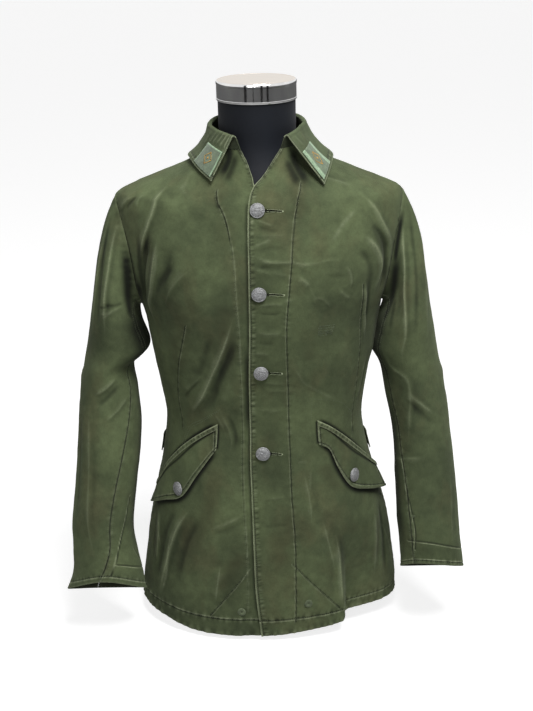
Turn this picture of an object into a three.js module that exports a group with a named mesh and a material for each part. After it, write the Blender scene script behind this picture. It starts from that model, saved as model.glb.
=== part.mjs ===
// A field jacket on a limbless dress form, in millimetres.
// +X is the wearer's left, the front faces -Y, and Z = 0 is the flat underside of the form.
// Every cloth piece is a thin wall. It is worked out from the section tables below.
import * as THREE from 'three'

// Cloth
const CLOTH = 1.6
const SEAM_GAP = 0.4
const LAY_GAP = 0.6

// Body sections. The columns are: height, shift to the wearer's left, half width at the side, depth of
// the front and of the back from the side line, and the powers that round the front and back (flat)
// and the side (edge).
const BODY = [
  { z: 10, shift: 1, wide: 207, front: 142, back: 136, flat: 0.92, edge: 0.92 },
  { z: 60, shift: 2.5, wide: 204, front: 140, back: 133, flat: 0.92, edge: 0.92 },
  { z: 110, shift: 3, wide: 197, front: 138, back: 129, flat: 0.92, edge: 0.92 },
  { z: 150, shift: 3.5, wide: 191, front: 136, back: 125, flat: 0.92, edge: 0.92 },
  { z: 200, shift: 3, wide: 180, front: 132, back: 117, flat: 0.92, edge: 0.94 },
  { z: 250, shift: 1.5, wide: 167, front: 127, back: 107, flat: 0.92, edge: 0.95 },
  { z: 300, shift: 0, wide: 157, front: 122, back: 98, flat: 0.92, edge: 0.96 },
  { z: 340, shift: 0, wide: 153, front: 119, back: 95, flat: 0.92, edge: 0.96 },
  { z: 390, shift: 0, wide: 160, front: 120, back: 100, flat: 0.92, edge: 0.96 },
  { z: 440, shift: 0, wide: 168, front: 125, back: 110, flat: 0.92, edge: 0.96 },
  { z: 500, shift: 0, wide: 177.5, front: 130, back: 118, flat: 0.92, edge: 0.98 },
  { z: 560, shift: 0, wide: 197, front: 130, back: 124, flat: 0.92, edge: 1.0 },
  { z: 612, shift: 0, wide: 208, front: 125, back: 123, flat: 0.94, edge: 1.08 },
  { z: 660, shift: 0, wide: 214, front: 114, back: 115, flat: 0.96, edge: 1.2 },
  { z: 686, shift: 0, wide: 211, front: 107, back: 106, flat: 0.97, edge: 1.3 },
  { z: 698, shift: 0, wide: 190, front: 102, back: 100, flat: 0.98, edge: 1.3 },
  { z: 711, shift: 0, wide: 159, front: 97, back: 92, flat: 1.0, edge: 1.25 },
  { z: 731, shift: 0, wide: 107, front: 91, back: 82, flat: 1.0, edge: 1.1 },
  { z: 745, shift: 0, wide: 86, front: 88, back: 76, flat: 1.0, edge: 1.0 },
  { z: 762, shift: 0, wide: 77, front: 87, back: 72, flat: 1.0, edge: 1.0 },
  { z: 776, shift: 0, wide: 74, front: 87, back: 70, flat: 1.0, edge: 1.0 },
]

// Angles run round the body from its side: -90 is the centre front, 0 the side, 90 the centre back.
const NECK_SEAM = 762
const SEAM_ANGLE = 4
const OPENING_TOP = 711

// Hem heights by angle from +X, from the back round the wearer's right side to the left side.
const HEM = [
  { angle: -270, z: 24 },
  { angle: -180, z: 24 },
  { angle: -143, z: 20 },
  { angle: -122, z: 10 },
  { angle: -92, z: 9 },
  { angle: -74, z: 15 },
  { angle: -60, z: 20 },
  { angle: -48, z: 27 },
  { angle: 0, z: 27 },
  { angle: 90, z: 24 },
]
const HEM_EASE = 60

// The largest fold of the skirt: in front of its ridge the cloth stands out, and behind it the cloth
// falls back. It fades out upwards and towards the side seam.
const SKIRT_FOLD = { ridge: -57, foot: -52, far: -8, depth: 28, top: 190 }

// Front edges, as angles. The wearer's left front laps over the right one up to the neck opening.
const LEFT_EDGE = [
  { z: 5, angle: -92 },
  { z: 90, angle: -94.5 },
  { z: 268, angle: -96 },
  { z: 400, angle: -95.5 },
  { z: 554, angle: -93.5 },
  { z: 690, angle: -93.2 },
  { z: 711, angle: -91.8 },
  { z: 725, angle: -86.2 },
  { z: 745, angle: -75 },
  { z: 762, angle: -63 },
]
const RIGHT_EDGE = [
  { z: 5, angle: -97 },
  { z: 680, angle: -97 },
  { z: 711, angle: -89 },
  { z: 725, angle: -87 },
  { z: 745, angle: -81 },
  { z: 762, angle: -73 },
]

// Armholes: a rounded opening on the side of the body
const ARMHOLE_TOP = 688
const ARMHOLE_BOTTOM = 512
const ARMHOLE_REACH = { left: { front: 20, back: 26 }, right: { front: 26, back: 26 } }

// Sleeve rings under the armhole. The columns are: height and fore-and-aft place of the middle, the
// outer and inner sides as distances from the centre plane, half the depth, the forward tilt of the
// ring in degrees, and the turn at which the front seam crosses it.
const LEFT_SLEEVE = [
  { z: 474, y: 0, outer: 263, inner: 177, deep: 67, tilt: 0, seam: 150 },
  { z: 440, y: 0, outer: 269, inner: 171.5, deep: 66, tilt: 0, seam: 150 },
  { z: 405, y: -4, outer: 276, inner: 183, deep: 63, tilt: 4, seam: 149 },
  { z: 360, y: -12, outer: 284, inner: 191, deep: 60, tilt: 10, seam: 148 },
  { z: 315, y: -24, outer: 289, inner: 200, deep: 58, tilt: 15, seam: 147 },
  { z: 270, y: -36, outer: 294, inner: 203, deep: 56, tilt: 18, seam: 143 },
  { z: 225, y: -49, outer: 298, inner: 203.5, deep: 54, tilt: 21, seam: 134 },
  { z: 180, y: -62, outer: 301.5, inner: 205, deep: 52, tilt: 24, seam: 130 },
  { z: 140, y: -74, outer: 304.5, inner: 209, deep: 50, tilt: 26, seam: 130 },
  { z: 115, y: -81, outer: 307, inner: 211, deep: 50, tilt: 27, seam: 131 },
  { z: 98, y: -86, outer: 308, inner: 211, deep: 50, tilt: 27, seam: 131 },
]
const RIGHT_SLEEVE = [
  { z: 482, y: 0, outer: 265, inner: 184.5, deep: 67, tilt: 0, seam: 150 },
  { z: 446, y: 0, outer: 272, inner: 175, deep: 66, tilt: 0, seam: 150 },
  { z: 418, y: -3, outer: 277.5, inner: 201, deep: 64, tilt: 2, seam: 149 },
  { z: 380, y: -10, outer: 284.5, inner: 196, deep: 61, tilt: 8, seam: 146 },
  { z: 330, y: -22, outer: 289.5, inner: 192, deep: 59, tilt: 14, seam: 134 },
  { z: 275, y: -37, outer: 293.5, inner: 196, deep: 56, tilt: 18, seam: 124 },
  { z: 220, y: -52, outer: 299, inner: 204, deep: 54, tilt: 22, seam: 117 },
  { z: 170, y: -67, outer: 304, inner: 208, deep: 52, tilt: 25, seam: 111 },
  { z: 130, y: -78, outer: 304, inner: 202, deep: 50, tilt: 27, seam: 105 },
  { z: 100, y: -87, outer: 304, inner: 195, deep: 50, tilt: 28, seam: 94 },
  { z: 71, y: -96, outer: 315, inner: 190, deep: 50, tilt: 28, seam: 84 },
]
const CAP_STEPS = [0, 0.1, 0.24, 0.4, 0.58, 0.78]
const SLEEVE_BACK_SEAM = 290
const SLEEVE_SEAM_TURN = 0.25
const CAP_TURNS = {
  top: [-70, -60, -40, -20, 0, 20, 40, 60, 80, 100, 120, 140, 150],
  under: [150, 160, 180, 200, 220, 240, 260, 280, 290],
}

// Collar sections from the wearer's left end round the back to the right end. The columns are: the
// angle at the neck seam counted from +X, the roll point at the top, the outer edge of the fall, and
// how far the middle of the fall swells out.
const COLLAR = [
  { angle: -63, roll: [43, -80, 780], edge: [96, -82, 710], swell: 0 },
  { angle: -42, roll: [55, -64, 784], edge: [104, -56, 724], swell: -2 },
  { angle: -22, roll: [64, -38, 787], edge: [109, -24, 733], swell: -6 },
  { angle: 5, roll: [69, -3, 789], edge: [109, 12, 737], swell: -7 },
  { angle: 45, roll: [53, 44, 791], edge: [88, 66, 734], swell: -3 },
  { angle: 90, roll: [0, 65, 792], edge: [0, 95, 731], swell: -2 },
  { angle: 135, roll: [-53, 44, 791], edge: [-86, 66, 735], swell: -3 },
  { angle: 175, roll: [-69, -3, 789], edge: [-103, 10, 740], swell: -7 },
  { angle: 202, roll: [-63, -40, 787], edge: [-98, -30, 740], swell: -5 },
  { angle: 228, roll: [-48, -66, 784], edge: [-84, -65, 731], swell: -2 },
  { angle: 253, roll: [-31, -82, 781], edge: [-65, -90, 719], swell: 0 },
]
const ROLL_SPREAD = 3

// Collar tabs, as shares of the collar's way round and of the fall from the roll to its edge
const TAB_THICK = 1
const TAB_GAP = 0.9
const TABS = {
  left: { from: 0.012, to: 0.155, top: 0.42, bottom: 0.95 },
  right: { from: 0.845, to: 0.988, top: 0.42, bottom: 0.95 },
}

// Pocket flaps. A row runs from the upper edge down to the lower edge, each as an angle and a height.
// Off is how far the upper edge stands off the front, and lift is how much further the lower one does.
const FLAPS = {
  left: [
    { upper: [-60, 356], lower: [-59, 316], off: 0, lift: 0 },
    { upper: [-52, 344], lower: [-52, 304], off: 0, lift: 0 },
    { upper: [-43, 327], lower: [-48, 272], off: 0, lift: 0 },
    { upper: [-33, 305], lower: [-41, 238], off: 0.5, lift: 1 },
    { upper: [-22, 280], lower: [-27, 222], off: 2, lift: 3 },
    { upper: [-10, 250], lower: [-8, 206], off: 6, lift: 6 },
  ],
  right: [
    { upper: [-66, 354], lower: [-65, 312], off: 0, lift: 0 },
    { upper: [-57, 340], lower: [-59, 290], off: 0, lift: 0 },
    { upper: [-47, 322], lower: [-52, 262], off: 0, lift: 0 },
    { upper: [-36, 298], lower: [-43, 226], off: 0.5, lift: 1 },
    { upper: [-24, 268], lower: [-29, 210], off: 1, lift: 3 },
    { upper: [-11, 226], lower: [-12, 190], off: 1, lift: 6 },
  ],
}
const FLAP_THICK = 2
const FLAP_STAND = 1
const WELT = 8
const WELT_THICK = 1
const WELT_GAP = 0.7

// Waist tabs on the sides, sewn into the side seams and pointing back
const WAIST_TAB = { from: 1, to: 24, low: 263, high: 293, lift: 2 }

// Buttons and studs. A pocket button's place is a share of the way along and down its flap.
const BUTTON = { radius: 10.8, rim: 2.2, dome: 4.2 }
const FRONT_BUTTONS = [680, 562, 440, 310]
const POCKET_BUTTONS = { left: { along: 0.62, down: 0.72 }, right: { along: 0.62, down: 0.8 } }
const STUD = { radius: 6.5, hole: 1.8, thick: 1.2 }
const STUDS = { left: { angle: -74, z: 62 }, right: { angle: -80, z: 50 } }

// Dress form sections, with the same columns as the body, and the cap on its neck
const FORM = [
  { z: 0, wide: 134, front: 102, back: 96 },
  { z: 60, wide: 137, front: 105, back: 100 },
  { z: 140, wide: 136, front: 105, back: 99 },
  { z: 220, wide: 131, front: 101, back: 90 },
  { z: 300, wide: 124, front: 96, back: 79 },
  { z: 360, wide: 124, front: 94, back: 79 },
  { z: 440, wide: 140, front: 104, back: 90 },
  { z: 520, wide: 156, front: 112, back: 104 },
  { z: 590, wide: 166, front: 110, back: 108 },
  { z: 640, wide: 168, front: 101, back: 100 },
  { z: 670, wide: 162, front: 94, back: 92 },
  { z: 692, wide: 144, front: 86, back: 84 },
  { z: 708, wide: 114, front: 78, back: 74 },
  { z: 722, wide: 84, front: 70, back: 66 },
  { z: 738, wide: 66, front: 62, back: 60 },
  { z: 758, wide: 58, front: 57, back: 57 },
  { z: 790, wide: 57, front: 57, back: 57 },
  { z: 820, wide: 57, front: 57, back: 57 },
]
const FORM_SIDES = 32
const CAP = { radius: 59, bottom: 820.4, top: 849.5, bevel: 2.5, sides: 48 }

const OLIVE = new THREE.MeshStandardMaterial({ color: 0x4b5a3c, roughness: 0.9, metalness: 0 })
const SAGE = new THREE.MeshStandardMaterial({ color: 0x7d9477, roughness: 0.85, metalness: 0 })
const BLACK = new THREE.MeshStandardMaterial({ color: 0x14181f, roughness: 0.75, metalness: 0 })
const CHROME = new THREE.MeshStandardMaterial({ color: 0xd8d8d6, roughness: 0.12, metalness: 1 })
const PEWTER = new THREE.MeshStandardMaterial({ color: 0x85868c, roughness: 0.55, metalness: 0.7 })

const part = new THREE.Group()
const radians = THREE.MathUtils.degToRad
const SIDES = { left: 1, right: -1 }

// Reads a column of a table at any height, as a smooth curve through its rows.
function column(rows, key, at, place = 'z') {
  const last = rows.length - 1
  const slope = (i) => {
    const a = rows[Math.max(i - 1, 0)]
    const b = rows[Math.min(i + 1, last)]
    return (b[key] - a[key]) / (b[place] - a[place])
  }
  let i = 0
  while (i < last - 1 && Math.abs(rows[i + 1][place] - rows[0][place]) < Math.abs(at - rows[0][place])) {
    i += 1
  }
  const step = rows[i + 1][place] - rows[i][place]
  const f = THREE.MathUtils.clamp((at - rows[i][place]) / step, 0, 1)
  return hermite(rows[i][key], slope(i) * step, rows[i + 1][key], slope(i + 1) * step, f)
}

function hermite(start, startPull, end, endPull, f) {
  const square = f * f
  const cube = square * f
  return (
    (2 * cube - 3 * square + 1) * start +
    (cube - 2 * square + f) * startPull +
    (3 * square - 2 * cube) * end +
    (cube - square) * endPull
  )
}

// How far the skirt falls back behind its fold, at an angle from +X and a height.
function foldDepth(angle, z) {
  const { ridge, foot, far, depth, top } = SKIRT_FOLD
  const fade = 1 - THREE.MathUtils.smoothstep(z, BODY[0].z, top)
  const drop = THREE.MathUtils.smoothstep(angle, ridge, foot)
  return depth * fade * drop * (1 - THREE.MathUtils.smoothstep(angle, foot, far))
}

// A point on the body at an angle from +X and a height.
function skin(angle, z) {
  const c = Math.cos(radians(angle))
  const s = Math.sin(radians(angle))
  const fold = foldDepth(angle, z)
  const deep = column(BODY, s < 0 ? 'front' : 'back', z) - fold
  const wide = column(BODY, 'wide', z) - fold / 2
  const x = column(BODY, 'shift', z) + wide * Math.sign(c) * Math.abs(c) ** column(BODY, 'flat', z)
  const y = deep * Math.sign(s) * Math.abs(s) ** column(BODY, 'edge', z)
  return new THREE.Vector3(x, y, z)
}

// The same point moved out of the body along its normal.
function body(angle, z, lift = 0) {
  const around = skin(angle + 1, z).sub(skin(angle - 1, z))
  const up = skin(angle, z + 1).sub(skin(angle, z - 1))
  return skin(angle, z).addScaledVector(around.cross(up).normalize(), lift)
}

// Angle from +X of an angle counted from one side of the body.
function turned(side, angle) {
  return side > 0 ? angle : 180 - angle
}

// A wall between two grids of points with the same rows and columns, closed round its border.
function wall(outer, inner) {
  const rows = outer.length
  const columns = outer[0].length
  const points = [...outer.flat(), ...inner.flat()]
  const at = (r, c, layer) => (layer * rows + r) * columns + c
  const faces = []
  const quad = (a, b, c, d) => faces.push([a, b, c], [a, c, d])
  for (let r = 0; r < rows - 1; r++) {
    for (let c = 0; c < columns - 1; c++) {
      quad(at(r, c, 0), at(r, c + 1, 0), at(r + 1, c + 1, 0), at(r + 1, c, 0))
      quad(at(r, c, 1), at(r + 1, c, 1), at(r + 1, c + 1, 1), at(r, c + 1, 1))
    }
  }
  for (let c = 0; c < columns - 1; c++) {
    quad(at(0, c, 0), at(0, c, 1), at(0, c + 1, 1), at(0, c + 1, 0))
    quad(at(rows - 1, c, 0), at(rows - 1, c + 1, 0), at(rows - 1, c + 1, 1), at(rows - 1, c, 1))
  }
  for (let r = 0; r < rows - 1; r++) {
    quad(at(r, 0, 0), at(r + 1, 0, 0), at(r + 1, 0, 1), at(r, 0, 1))
    quad(at(r, columns - 1, 0), at(r, columns - 1, 1), at(r + 1, columns - 1, 1), at(r + 1, columns - 1, 0))
  }
  return solid(points, faces)
}

// A mesh's geometry from points and triangles, turned so that its faces point out.
function solid(points, faces) {
  let volume = 0
  for (const [a, b, c] of faces) {
    volume += points[a].dot(points[b].clone().cross(points[c]))
  }
  const geometry = new THREE.BufferGeometry()
  geometry.setAttribute('position', new THREE.Float32BufferAttribute(points.flatMap((p) => p.toArray()), 3))
  geometry.setIndex(volume > 0 ? faces.flat() : faces.flatMap(([a, b, c]) => [a, c, b]))
  return geometry
}

function grid(rows, columns, place) {
  return rows.map((row) => columns.map((col) => place(row, col)))
}

function steps(count) {
  return Array.from({ length: count + 1 }, (_, i) => i / count)
}

function add(name, geometry, material) {
  geometry.computeVertexNormals()
  const mesh = new THREE.Mesh(geometry, material)
  mesh.name = name
  part.add(mesh)
  return mesh
}

// Armhole: turn 0 is its top at the shoulder, 90 its front, 180 its bottom, 270 its back.
function armhole(name, turn, lift = 0) {
  const reach = ARMHOLE_REACH[name]
  const s = Math.sin(radians(turn))
  const middle = (ARMHOLE_TOP + ARMHOLE_BOTTOM) / 2
  const half = (ARMHOLE_TOP - ARMHOLE_BOTTOM) / 2
  const shrink = 1 + lift / half
  return {
    angle: SEAM_ANGLE - s * shrink * (s > 0 ? reach.front : reach.back),
    z: middle + Math.cos(radians(turn)) * half * shrink,
  }
}

// Angle where a panel stops at the side: the side seam, then the armhole, then the shoulder seam.
function sideLimit(name, z, toBack) {
  const perDegree = skin(SEAM_ANGLE + 1, z).distanceTo(skin(SEAM_ANGLE, z))
  const gap = ((toBack ? 1 : -1) * SEAM_GAP) / 2 / perDegree
  if (z <= ARMHOLE_BOTTOM || z >= ARMHOLE_TOP) {
    return SEAM_ANGLE + gap
  }
  const middle = (ARMHOLE_TOP + ARMHOLE_BOTTOM) / 2
  const turn = THREE.MathUtils.radToDeg(Math.acos((z - middle) / (ARMHOLE_TOP - middle)))
  return armhole(name, toBack ? 360 - turn : turn).angle + gap
}

const ARMHOLE_TURNS = [180, 160, 140, 120, 100, 80, 60, 40, 20, 0]
const PANEL_ROWS = [
  ...[BODY[0].z, 35, HEM_EASE, 110, 160, 210, 250, 280, 310, 340, 390, 440, 480],
  ...ARMHOLE_TURNS.map((turn) => armhole('left', turn).z),
  ...[697, 704, 711, 718, 728, 740, 751, NECK_SEAM],
]

// A panel row's height at an angle from +X: the lowest rows follow the hem.
function rowHeight(z, angle) {
  const share = THREE.MathUtils.clamp((HEM_EASE - z) / (HEM_EASE - BODY[0].z), 0, 1)
  return z + (column(HEM, 'z', angle > 90 ? angle - 360 : angle, 'angle') - BODY[0].z) * share
}

// The right front dips under the left one next to its edge.
function lapDrop(angle, z) {
  const near = THREE.MathUtils.smoothstep(-angle, 78, 84)
  const closed = 1 - THREE.MathUtils.smoothstep(z, OPENING_TOP, OPENING_TOP + 25)
  return -(CLOTH + LAY_GAP) * near * closed
}

function addFronts() {
  for (const [name, side] of Object.entries(SIDES)) {
    const edge = name === 'left' ? LEFT_EDGE : RIGHT_EDGE
    const surface = (depth) => (z, across) => {
      const angle = THREE.MathUtils.lerp(column(edge, 'angle', z), sideLimit(name, z, false), across)
      const drop = name === 'right' ? lapDrop(angle, z) : 0
      const around = turned(side, angle)
      return body(around, rowHeight(z, around), drop - depth)
    }
    const across = [0, 0.06, 0.13, 0.22, 0.32, 0.4, 0.48, 0.58, 0.69, 0.8, 0.9, 1]
    const [outer, inner] = [0, CLOTH].map((depth) => grid(PANEL_ROWS, across, surface(depth)))
    add(`front_${name}`, wall(outer, inner), OLIVE)
  }
}

function addBack() {
  const surface = (depth) => (z, across) => {
    const start = sideLimit('left', z, true)
    const end = turned(-1, sideLimit('right', z, true))
    const angle = THREE.MathUtils.lerp(start, end, across)
    return body(angle, rowHeight(z, angle), -depth)
  }
  const across = steps(15)
  add('back', wall(grid(PANEL_ROWS, across, surface(0)), grid(PANEL_ROWS, across, surface(CLOTH))), OLIVE)
}

// A point of a sleeve ring. Turn 0 is its outer side, 90 its front, 180 its inner side.
function ringPoint(side, ring, turn, lift) {
  const c = Math.cos(radians(turn))
  const s = Math.sin(radians(turn))
  const half = (ring.outer - ring.inner) / 2
  const x = (ring.outer + ring.inner) / 2 + (half + lift) * c
  const forward = (ring.deep + lift) * s
  const tilt = radians(ring.tilt)
  return new THREE.Vector3(side * x, ring.y - forward * Math.cos(tilt), ring.z + forward * Math.sin(tilt))
}

function sleevePoint(name, row, turn, lift) {
  const side = SIDES[name]
  const rings = name === 'left' ? LEFT_SLEEVE : RIGHT_SLEEVE
  if (row >= 1) {
    return ringPoint(side, rings[row - 1], turn, lift)
  }
  const hole = armhole(name, turn, lift)
  const start = body(turned(side, hole.angle), hole.z, SEAM_GAP)
  const end = ringPoint(side, rings[0], turn, lift)
  const reach = start.distanceTo(end)
  const c = Math.cos(radians(turn))
  const s = Math.sin(radians(turn))
  const leave = new THREE.Vector3(side, -0.2 * s, -0.75 - 0.75 * c).normalize()
  const pull = reach * (1 - 0.2 * c)
  const arrive = ringPoint(side, rings[1], turn, lift).sub(end).normalize()
  const blend = (axis) => hermite(
    start.getComponent(axis),
    leave.getComponent(axis) * pull,
    end.getComponent(axis),
    arrive.getComponent(axis) * reach,
    row,
  )
  return new THREE.Vector3(blend(0), blend(1), blend(2))
}

// Each sleeve is an outer piece and an under piece, sewn along the front and the back of the arm.
function addSleeves() {
  for (const name of Object.keys(SIDES)) {
    const rings = (name === 'left' ? LEFT_SLEEVE : RIGHT_SLEEVE).map((ring, i) => ({ ...ring, row: i + 1 }))
    const rows = [...CAP_STEPS, ...rings.map((ring) => ring.row)]
    const frontSeam = (row) => column(rings, 'seam', row, 'row')
    const spans = {
      top: { from: () => SLEEVE_BACK_SEAM - 360, to: frontSeam },
      under: { from: frontSeam, to: () => SLEEVE_BACK_SEAM },
    }
    for (const [piece, { from, to }] of Object.entries(spans)) {
      const turns = CAP_TURNS[piece]
      const surface = (lift) => (row, capTurn) => {
        const share = THREE.MathUtils.inverseLerp(turns[0], turns[turns.length - 1], capTurn)
        const turn = THREE.MathUtils.lerp(from(row) + SLEEVE_SEAM_TURN, to(row) - SLEEVE_SEAM_TURN, share)
        return sleevePoint(name, row, turn, lift)
      }
      const geometry = wall(grid(rows, turns, surface(0)), grid(rows, turns, surface(-CLOTH)))
      add(`sleeve_${name}_${piece}`, geometry, OLIVE)
    }
  }
}

// A smooth reading of the collar table at a share of the way round.
function collarRow(share) {
  const rows = COLLAR.map((row, i) => ({
    place: i / (COLLAR.length - 1),
    angle: row.angle,
    rollX: row.roll[0],
    rollY: row.roll[1],
    rollZ: row.roll[2],
    edgeX: row.edge[0],
    edgeY: row.edge[1],
    edgeZ: row.edge[2],
    swell: row.swell,
  }))
  const read = (key) => column(rows, key, share, 'place')
  return {
    angle: read('angle'),
    roll: new THREE.Vector3(read('rollX'), read('rollY'), read('rollZ')),
    edge: new THREE.Vector3(read('edgeX'), read('edgeY'), read('edgeZ')),
    swell: read('swell'),
  }
}

// A point across the collar: 0 is the neck seam, 1 the top of the stand, 2 the outer edge of the fall.
function collarLine(share, across) {
  const { angle, roll, edge, swell } = collarRow(share)
  const seam = skin(angle, NECK_SEAM + LAY_GAP)
  const out = new THREE.Vector3(edge.x - roll.x, edge.y - roll.y, 0).normalize()
  const standTop = roll.clone().addScaledVector(out, -ROLL_SPREAD).setZ(roll.z - ROLL_SPREAD)
  if (across <= 1) {
    return seam.lerp(standTop, across)
  }
  const fall = across - 1
  const start = roll.clone().addScaledVector(out, ROLL_SPREAD).setZ(roll.z - ROLL_SPREAD)
  const bend = 0.12
  if (fall < bend) {
    const turn = (fall / bend) * Math.PI
    const swing = standTop.clone().add(start).multiplyScalar(0.5)
    swing.addScaledVector(out, -Math.cos(turn) * ROLL_SPREAD)
    swing.z += Math.sin(turn) * ROLL_SPREAD
    return swing
  }
  const down = (fall - bend) / (1 - bend)
  const point = start.lerp(edge, down)
  point.addScaledVector(out, Math.sin(down * Math.PI) * swell)
  return point
}

// A point of the collar, moved by lift to the face that touches the jacket, or the other way below 0.
function collar(share, across, lift = 0) {
  const e = 0.004
  const side = collarLine(Math.min(share + e, 1), across).sub(collarLine(Math.max(share - e, 0), across))
  const run = collarLine(share, Math.min(across + e, 2)).sub(collarLine(share, Math.max(across - e, 0)))
  return collarLine(share, across).addScaledVector(side.cross(run).normalize(), lift)
}

function addCollar() {
  const around = steps(24)
  const pieces = { stand: [0, 0.5, 0.985], fall: [1.008, 1.035, 1.06, 1.085, 1.12, 1.35, 1.65, 2] }
  for (const [piece, stations] of Object.entries(pieces)) {
    const surface = (lift) => (across, share) => collar(share, across, lift)
    const outer = grid(stations, around, surface(CLOTH / 2))
    const inner = grid(stations, around, surface(-CLOTH / 2))
    add(`collar_${piece}`, wall(outer, inner), OLIVE)
  }
}

function addCollarTabs() {
  for (const [name, tab] of Object.entries(TABS)) {
    const surface = (lift) => (down, along) => {
      const share = THREE.MathUtils.lerp(tab.from, tab.to, along)
      return collar(share, 1 + THREE.MathUtils.lerp(tab.top, tab.bottom, down), -lift)
    }
    const low = CLOTH / 2 + TAB_GAP
    const [under, face] = [low, low + TAB_THICK].map((lift) => grid(steps(4), steps(5), surface(lift)))
    add(`collar_tab_${name}`, wall(under, face), SAGE)
  }
}

// A point of a pocket flap, from its upper edge (down 0) to its lower edge (down 1).
function flapPoint(name, along, down, lift) {
  const rows = FLAPS[name].map((row, i) => ({
    place: i / (FLAPS[name].length - 1),
    upperAngle: row.upper[0],
    upperZ: row.upper[1],
    lowerAngle: row.lower[0],
    lowerZ: row.lower[1],
    off: row.off,
    lift: row.lift,
  }))
  const read = (key) => column(rows, key, along, 'place')
  const angle = THREE.MathUtils.lerp(read('upperAngle'), read('lowerAngle'), down)
  const z = THREE.MathUtils.lerp(read('upperZ'), read('lowerZ'), down)
  return body(turned(SIDES[name], angle), z, lift + read('off') + read('lift') * down ** 1.5)
}

function addPockets() {
  for (const name of Object.keys(SIDES)) {
    const flap = (lift) => (down, along) => flapPoint(name, along, down, lift)
    const low = FLAP_STAND
    const high = low + FLAP_THICK
    const rows = steps(4)
    const columns = steps(10)
    add(`pocket_flap_${name}`, wall(grid(rows, columns, flap(high)), grid(rows, columns, flap(low))), OLIVE)
    const welt = (lift) => (down, along) => {
      const upper = flapPoint(name, along, 0, 0)
      const reach = upper.distanceTo(flapPoint(name, along, 1, 0))
      return flapPoint(name, along, (down * WELT) / reach, lift)
    }
    const weltLow = high + WELT_GAP
    const weltHigh = weltLow + WELT_THICK
    const [outer, inner] = [weltHigh, weltLow].map((lift) => grid([0, 1], columns, welt(lift)))
    add(`pocket_welt_${name}`, wall(outer, inner), OLIVE)
  }
}

function addWaistTabs() {
  const { from, to, low, high, lift } = WAIST_TAB
  for (const [name, side] of Object.entries(SIDES)) {
    const surface = (extra) => (up, along) => {
      const point = Math.max(0, along - 0.75) * 4
      const z = THREE.MathUtils.lerp(low, high, 0.5 + (up - 0.5) * (1 - 0.6 * point))
      return body(turned(side, THREE.MathUtils.lerp(from, to, along)), z, lift + extra)
    }
    const columns = [0, 0.25, 0.5, 0.75, 1]
    const geometry = wall(grid(steps(2), columns, surface(CLOTH)), grid(steps(2), columns, surface(0)))
    add(`waist_tab_${name}`, geometry, OLIVE)
  }
}

// Turns a round piece made along +Y to stand on a surface, which is given as a function of its lift.
function placeOn(mesh, surface, lift) {
  const base = surface(lift)
  const out = surface(lift + 1).sub(base).normalize()
  mesh.quaternion.setFromUnitVectors(new THREE.Vector3(0, 1, 0), out)
  mesh.position.copy(base)
}

function buttonGeometry() {
  const { radius, rim, dome } = BUTTON
  const outline = [[0, 0], [radius - 1, 0], [radius, 0.8], [radius, rim], [radius * 0.86, dome * 0.8],
    [radius * 0.6, dome * 0.95], [0, dome]]
  return new THREE.LatheGeometry(outline.map(([r, h]) => new THREE.Vector2(r, h)), 20)
}

function addButtons() {
  const front = -90
  FRONT_BUTTONS.forEach((z, i) => {
    const button = add(`button_front_${i + 1}`, buttonGeometry(), PEWTER)
    placeOn(button, (lift) => body(front, z, lift), 2 * LAY_GAP)
  })
  for (const [name, { along, down }] of Object.entries(POCKET_BUTTONS)) {
    const surface = (lift) => flapPoint(name, along, down, lift)
    const button = add(`button_pocket_${name}`, buttonGeometry(), PEWTER)
    placeOn(button, surface, FLAP_STAND + FLAP_THICK + 2 * LAY_GAP)
  }
}

function addStuds() {
  const { radius, hole, thick } = STUD
  const outline = [[hole, 0], [radius, 0], [radius, thick * 0.6], [radius - 1.5, thick], [hole, thick], [hole, 0]]
  for (const [name, { angle, z }] of Object.entries(STUDS)) {
    const ring = new THREE.LatheGeometry(outline.map(([r, h]) => new THREE.Vector2(r, h)), 16)
    const stud = add(`hem_stud_${name}`, ring, OLIVE)
    placeOn(stud, (lift) => body(turned(SIDES[name], angle), z, lift), LAY_GAP)
  }
}

function addDressForm() {
  const around = Array.from({ length: FORM_SIDES }, (_, i) => (i / FORM_SIDES) * 2 * Math.PI)
  const points = []
  for (const { z, wide, front, back } of FORM) {
    for (const turn of around) {
      const s = Math.sin(turn)
      points.push(new THREE.Vector3(wide * Math.cos(turn), (s < 0 ? front : back) * s, z))
    }
  }
  const bottom = points.push(new THREE.Vector3(0, 0, FORM[0].z)) - 1
  const top = points.push(new THREE.Vector3(0, 0, FORM[FORM.length - 1].z)) - 1
  const faces = []
  for (let r = 0; r < FORM.length - 1; r++) {
    for (let c = 0; c < FORM_SIDES; c++) {
      const next = (c + 1) % FORM_SIDES
      const [a, b] = [r * FORM_SIDES + c, r * FORM_SIDES + next]
      faces.push([a, b, b + FORM_SIDES], [a, b + FORM_SIDES, a + FORM_SIDES])
    }
  }
  const lastRow = (FORM.length - 1) * FORM_SIDES
  for (let c = 0; c < FORM_SIDES; c++) {
    const next = (c + 1) % FORM_SIDES
    faces.push([bottom, next, c], [top, lastRow + c, lastRow + next])
  }
  add('dress_form', solid(points, faces), BLACK)
}

function addNeckCap() {
  const { radius, bottom, top, bevel, sides } = CAP
  const outline = [[0, bottom], [radius, bottom], [radius, top - bevel], [radius - bevel, top], [0, top]]
  const cap = new THREE.LatheGeometry(outline.map(([r, h]) => new THREE.Vector2(r, h)), sides)
  cap.rotateX(Math.PI / 2)
  add('neck_cap', cap, CHROME)
}

addFronts()
addBack()
addSleeves()
addCollar()
addCollarTabs()
addPockets()
addWaistTabs()
addButtons()
addStuds()
addDressForm()
addNeckCap()

export default part
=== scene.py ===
import math

import bpy
import numpy as np
from mathutils import Matrix, Vector
from mathutils.bvhtree import BVHTree


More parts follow.
